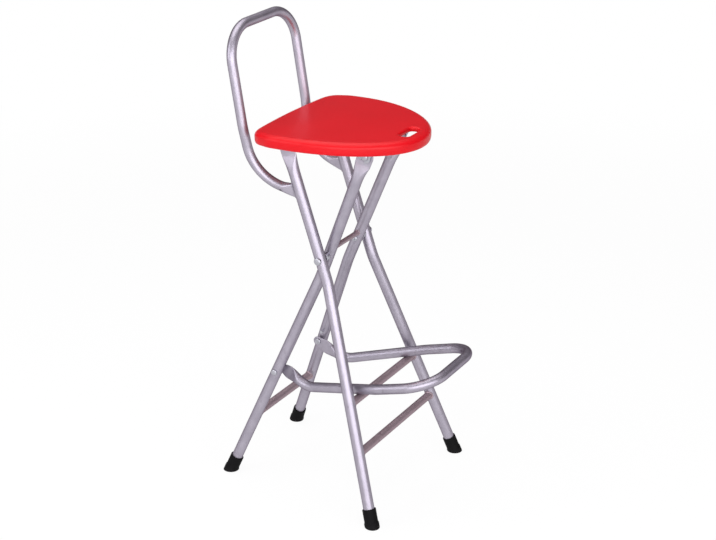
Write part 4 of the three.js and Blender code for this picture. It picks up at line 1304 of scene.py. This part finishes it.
bracket = {
    "gauge": gauge,
    "bend": 3.0,
    "bendSteps": (8, 5),  # outside and inside
    "length": 46.0,
    "base": 27.0,
    "drop": 12.0,
    "dropSteps": 28,
    "hookLean": 34.0,
    "eyeClearance": 0.3,
    "hookClearance": 0.6,
    "screwSpacing": 30.0,
    "edge": 0.35,
    "margin": 2,
    "cutReach": {"outline": 60.0, "eye": 30.0, "mouth": 40.0},
}

padFoot = ceiling - pads["height"]
bays = {
    "hinge": (hingeFlangeX + gauge / 2, 0.0),
    "hook": (hookFlangeX + gauge / 2, -hookReach),
}


def pad(x, y):
    halfX, halfY = bracket["base"] / 2 + ribs["wall"], bracket["length"] / 2

    def ring(grow, height):
        return roundedRing(x - halfX - grow, x + halfX + grow, y - halfY - grow,
                           y + halfY + grow, pads["corner"], height, pads["cornerSteps"])

    top = [Vector((point.x, point.y, hollowTop(point.x, point.y) + ribs["sink"]))
           for point in ring(pads["draft"], 0.0)]
    return skin([top, ring(0.0, padFoot + pads["edge"]), ring(-pads["edge"], padFoot)])


def seatUnderside():
    parts = []
    sink, pitch = ribs["sink"], ribs["spinePitch"]
    for count in (-1, 0, 1):
        x = count * pitch
        parts.append(rib((x, -ribs["spineFront"]), (x, seat["back"] - seat["wall"] + sink)))
    for count in (-1, 0, 1, 2):
        y = -hookReach / 2 + count * ribs["crossPitch"]
        reach = pitch if count else innerHalfWidth(y) + sink
        parts.append(rib((-reach, y), (reach, y)))
    for side in (-1, 1):
        parts += [pad(side * (x - bracket["base"] / 2), y) for x, y in bays.values()]
    return merge(*parts)


makePiece("seatShell", merge(seatShell(), seatUnderside()), seatPlace, red, "seat",
          "seat", seat["sharpAngle"])
print("seat moulded")


# Brackets and screws under the seat

screwShape = {
    "head": (4.0, 2.4),  # radius and height
    "arc": (278, 355, 10),
    "shank": 2.0,
    "taper": (6.0, 7.0),
    "recess": [(2.3, 0.45, -3.0), (1.1, 0.4, -0.9)],  # half length, half width, height
    "recessEdge": 0.15,
    "recessSteps": 2,
    "spin": 25,
}


def bentBracket(spec, isHook):
    top = padFoot - gap
    turn, thick, reach, drop = spec["bend"], spec["gauge"], spec["base"], spec["drop"]
    half, foot, margin = spec["length"] / 2, top - turn, spec["margin"]
    outside = bow((turn, foot), (turn, turn), 180, 90, spec["bendSteps"][0])
    inside = bow((turn, foot), (turn - thick, turn - thick), 90, 180, spec["bendSteps"][1])
    section = [(0, -drop)] + [(-x, z) for x, z in outside] + [(-reach, top), (-reach, top - thick)]
    section += [(-x, z) for x, z in inside] + [(-thick, -drop)]
    outline = [(-half - margin, padFoot + margin), (-half - margin, foot)]
    outline += [(drop * math.cos(angle), drop * math.sin(angle))
                for angle in evenly(math.pi, math.pi, spec["dropSteps"])]
    outline += [(half + margin, foot), (half + margin, padFoot + margin)]
    clearance = spec["hookClearance"] if isHook else spec["eyeClearance"]
    eye = fixings["seatRivet"]["shank"] + clearance
    far = spec["cutReach"]
    cuts = [("INTERSECT", drawnAlong("X", outline, -far["outline"], far["outline"])),
            ("DIFFERENCE", moved(lathe([(eye, -far["eye"]), (eye, far["eye"])],
                                       shaping["holeSides"]), sidewaysAt(0)))]
    if isHook:
        corners = [(-eye, -2 * drop), (eye, -2 * drop), (eye, 0.0), (-eye, 0.0)]
        mouth = drawnAlong("X", corners, -far["mouth"], far["mouth"])
        lean = Matrix.Rotation(math.radians(spec["hookLean"]), 4, "X")
        cuts.append(("DIFFERENCE", moved(mouth, lean)))
    return carved(drawnAlong("Y", section, -half, half), cuts, spec["edge"])


def panScrew(spec):
    # head below, with a cross recess
    (radius, height), shank, (taper, tip) = spec["head"], spec["shank"], spec["taper"]
    profile = [(0, -height)] + bow((0, 0), spec["head"], *spec["arc"])
    profile += [(radius, 0.0), (shank, 0.0), (shank, taper), (0, tip)]
    bar = skin([roundedRing(-x, x, -y, y, spec["recessEdge"], z, spec["recessSteps"])
                for x, y, z in spec["recess"]])
    cuts = [("DIFFERENCE", moved(bar, Matrix.Rotation(math.radians(spin + spec["spin"]), 4, "Z")))
            for spin in (0, 90)]
    return carved(lathe(profile, shaping["holeSides"]), cuts)


sheets = {"hinge": bentBracket(bracket, False), "hook": bentBracket(bracket, True)}
screw = panScrew(screwShape)

for sideName, side in leftRight.items():
    for key, (x, y) in bays.items():
        place = seatPlace @ Matrix.Translation((side * x, y, 0))
        makePiece("seat" + key.capitalize() + "Bracket" + sideName,
                  flipped(sheets[key], side), place, zinc, "seat")
    for key, (x, y) in bays.items():
        for spot, share in (("Front", -0.5), ("Rear", 0.5)):
            place = seatPlace @ Matrix.Translation((
                side * (x - bracket["base"] / 2), y + share * bracket["screwSpacing"],
                padFoot - gap - gauge - gap))
            makePiece(key + "Screw" + spot + sideName, screw, place, zinc, "seat")
print("brackets and screws fitted")


# Floor, light and camera

studio = {
    "floorHalf": 120.0,
    "floorGrain": (3.0, 2.0),
    "floorTone": ((0.60, 0.60, 0.61, 1.0), (0.64, 0.64, 0.645, 1.0)),
    "seenTone": (0.92, 0.92, 0.92, 1.0),
    "shadowShare": 0.07,
    "shadowReach": (1.3, 2.8),  # the shadow stays near the stool
    "sky": [(0.0, (0.52, 0.46, 0.49, 1.0)), (0.12, (0.36, 0.32, 0.34, 1.0)),
            (0.35, (0.11, 0.09, 0.10, 1.0)), (0.60, (0.50, 0.47, 0.50, 1.0)),
            (0.90, (0.40, 0.39, 0.41, 1.0))],
    "skyStrength": 0.6,
    "lamps": {
        "keyLight": {"place": (-2.25, -2.05, 1.42), "target": (0, 0, 0.55), "power": 148.0,
                     "size": (6.0, 2.2), "tint": (0.98, 0.985, 1.0)},
        "sideLight": {"place": (-2.5, 1.9, 1.8), "target": (0, 0, 0.5), "power": 42.0,
                      "size": (2.4, 2.0), "tint": (0.97, 0.985, 1.0)},
        "overheadLight": {"place": (0.1, 0.4, 3.2), "target": (0, 0, 0.6), "power": 62.0,
                          "size": (3.0, 3.0), "tint": (1.0, 0.99, 0.98)},
    },
}

camera = {
    "azimuth": -59.59317,
    "elevation": 22.92864,
    "roll": -0.17027,
    "lens": 81.805,
    "sensor": 36.0,
    "farthest": 250.0,
    "distance": 3.251445,
    "target": (0.0554226, 0.020978, 0.421477),
}


def cameraMatrix(spec):
    turn, rise, roll = (math.radians(spec[key]) for key in ("azimuth", "elevation", "roll"))
    back = Vector((math.sin(turn) * math.cos(rise), -math.cos(turn) * math.cos(rise),
                   math.sin(rise)))
    level = (-back).cross(Vector((0, 0, 1))).normalized()
    upright = back.cross(level)
    right = level * math.cos(roll) + upright * math.sin(roll)
    up = upright * math.cos(roll) - level * math.sin(roll)
    place = Matrix.Translation(Vector(spec["target"]) + back * spec["distance"])
    return place @ Matrix((right, up, back)).transposed().to_4x4()


lens = bpy.data.cameras.new("photoCamera")
lens.sensor_fit = "HORIZONTAL"
lens.sensor_width = camera["sensor"]
lens.lens = camera["lens"]
lens.clip_end = camera["farthest"]
cameraObject = inScene("photoCamera", lens)
cameraObject.matrix_world = cameraMatrix(camera)
bpy.context.scene.camera = cameraObject

for name, spec in studio["lamps"].items():
    light = bpy.data.lights.new(name, "AREA")
    light.shape = "RECTANGLE"
    light.size, light.size_y = spec["size"]
    light.energy = spec["power"]
    light.color = spec["tint"]
    lamp = inScene(name, light)
    lamp.location = spec["place"]
    lamp.visible_camera = False
    aim = Vector(spec["target"]) - Vector(spec["place"])
    lamp.rotation_mode = "QUATERNION"
    lamp.rotation_quaternion = aim.to_track_quat("-Z", "Y")


def floorPaint(spec):
    # matt to the light, and nearly white to the camera and in reflections
    board = Board(bpy.data.materials.new("studioFloorPaint"))
    seen, glossy, clear = (board.add("ShaderNodeLightPath", out=key) for key in
                           ("Is Camera Ray", "Is Glossy Ray", "Is Transmission Ray"))
    looked = board.add("ShaderNodeMath", {"operation": "MINIMUM"},
                       {0: seen + glossy + clear, 1: 1.0})
    tone = blend(board, grain(board, *spec["floorGrain"]), *spec["floorTone"])
    tone = blend(board, looked, tone, spec["seenTone"])
    matt = board.add("ShaderNodeBsdfDiffuse", {}, {"Color": tone})
    white = board.add("ShaderNodeEmission", {}, {"Color": spread(1.0, 4), "Strength": 1.0})
    reach = board.add("ShaderNodeVectorMath", {"operation": "LENGTH"}, {0: board.spot}, "Value")
    clearing = windowed(board, reach, *spec["shadowReach"])
    shown = looked * (1 - (1 - clearing) * spec["shadowShare"])
    surface = board.add("ShaderNodeMixShader", {}, {0: shown, 1: matt, 2: white})
    board.add("ShaderNodeOutputMaterial", {}, {"Surface": surface})
    return board.owner


half = studio["floorHalf"]
floorMesh = bpy.data.meshes.new("studioFloor")
floorMesh.from_pydata([(-half, -half, 0), (half, -half, 0), (half, half, 0), (-half, half, 0)],
                      [], [(0, 1, 2, 3)])
floorMesh.materials.append(floorPaint(studio))
floor = inScene("studioFloor", floorMesh)

world = bpy.data.worlds.new("studioRoom")
bpy.context.scene.world = world
room = Board(world, "Generated")
colour = room.add("ShaderNodeValToRGB", {"stops": studio["sky"]}, {"Fac": heightIn(room)}, "Color")
surface = room.add("ShaderNodeBackground", {},
                   {"Color": colour, "Strength": studio["skyStrength"]})
room.add("ShaderNodeOutputWorld", {}, {"Surface": surface})

bpy.context.scene.view_settings.view_transform = "Standard"
print("studio lit")
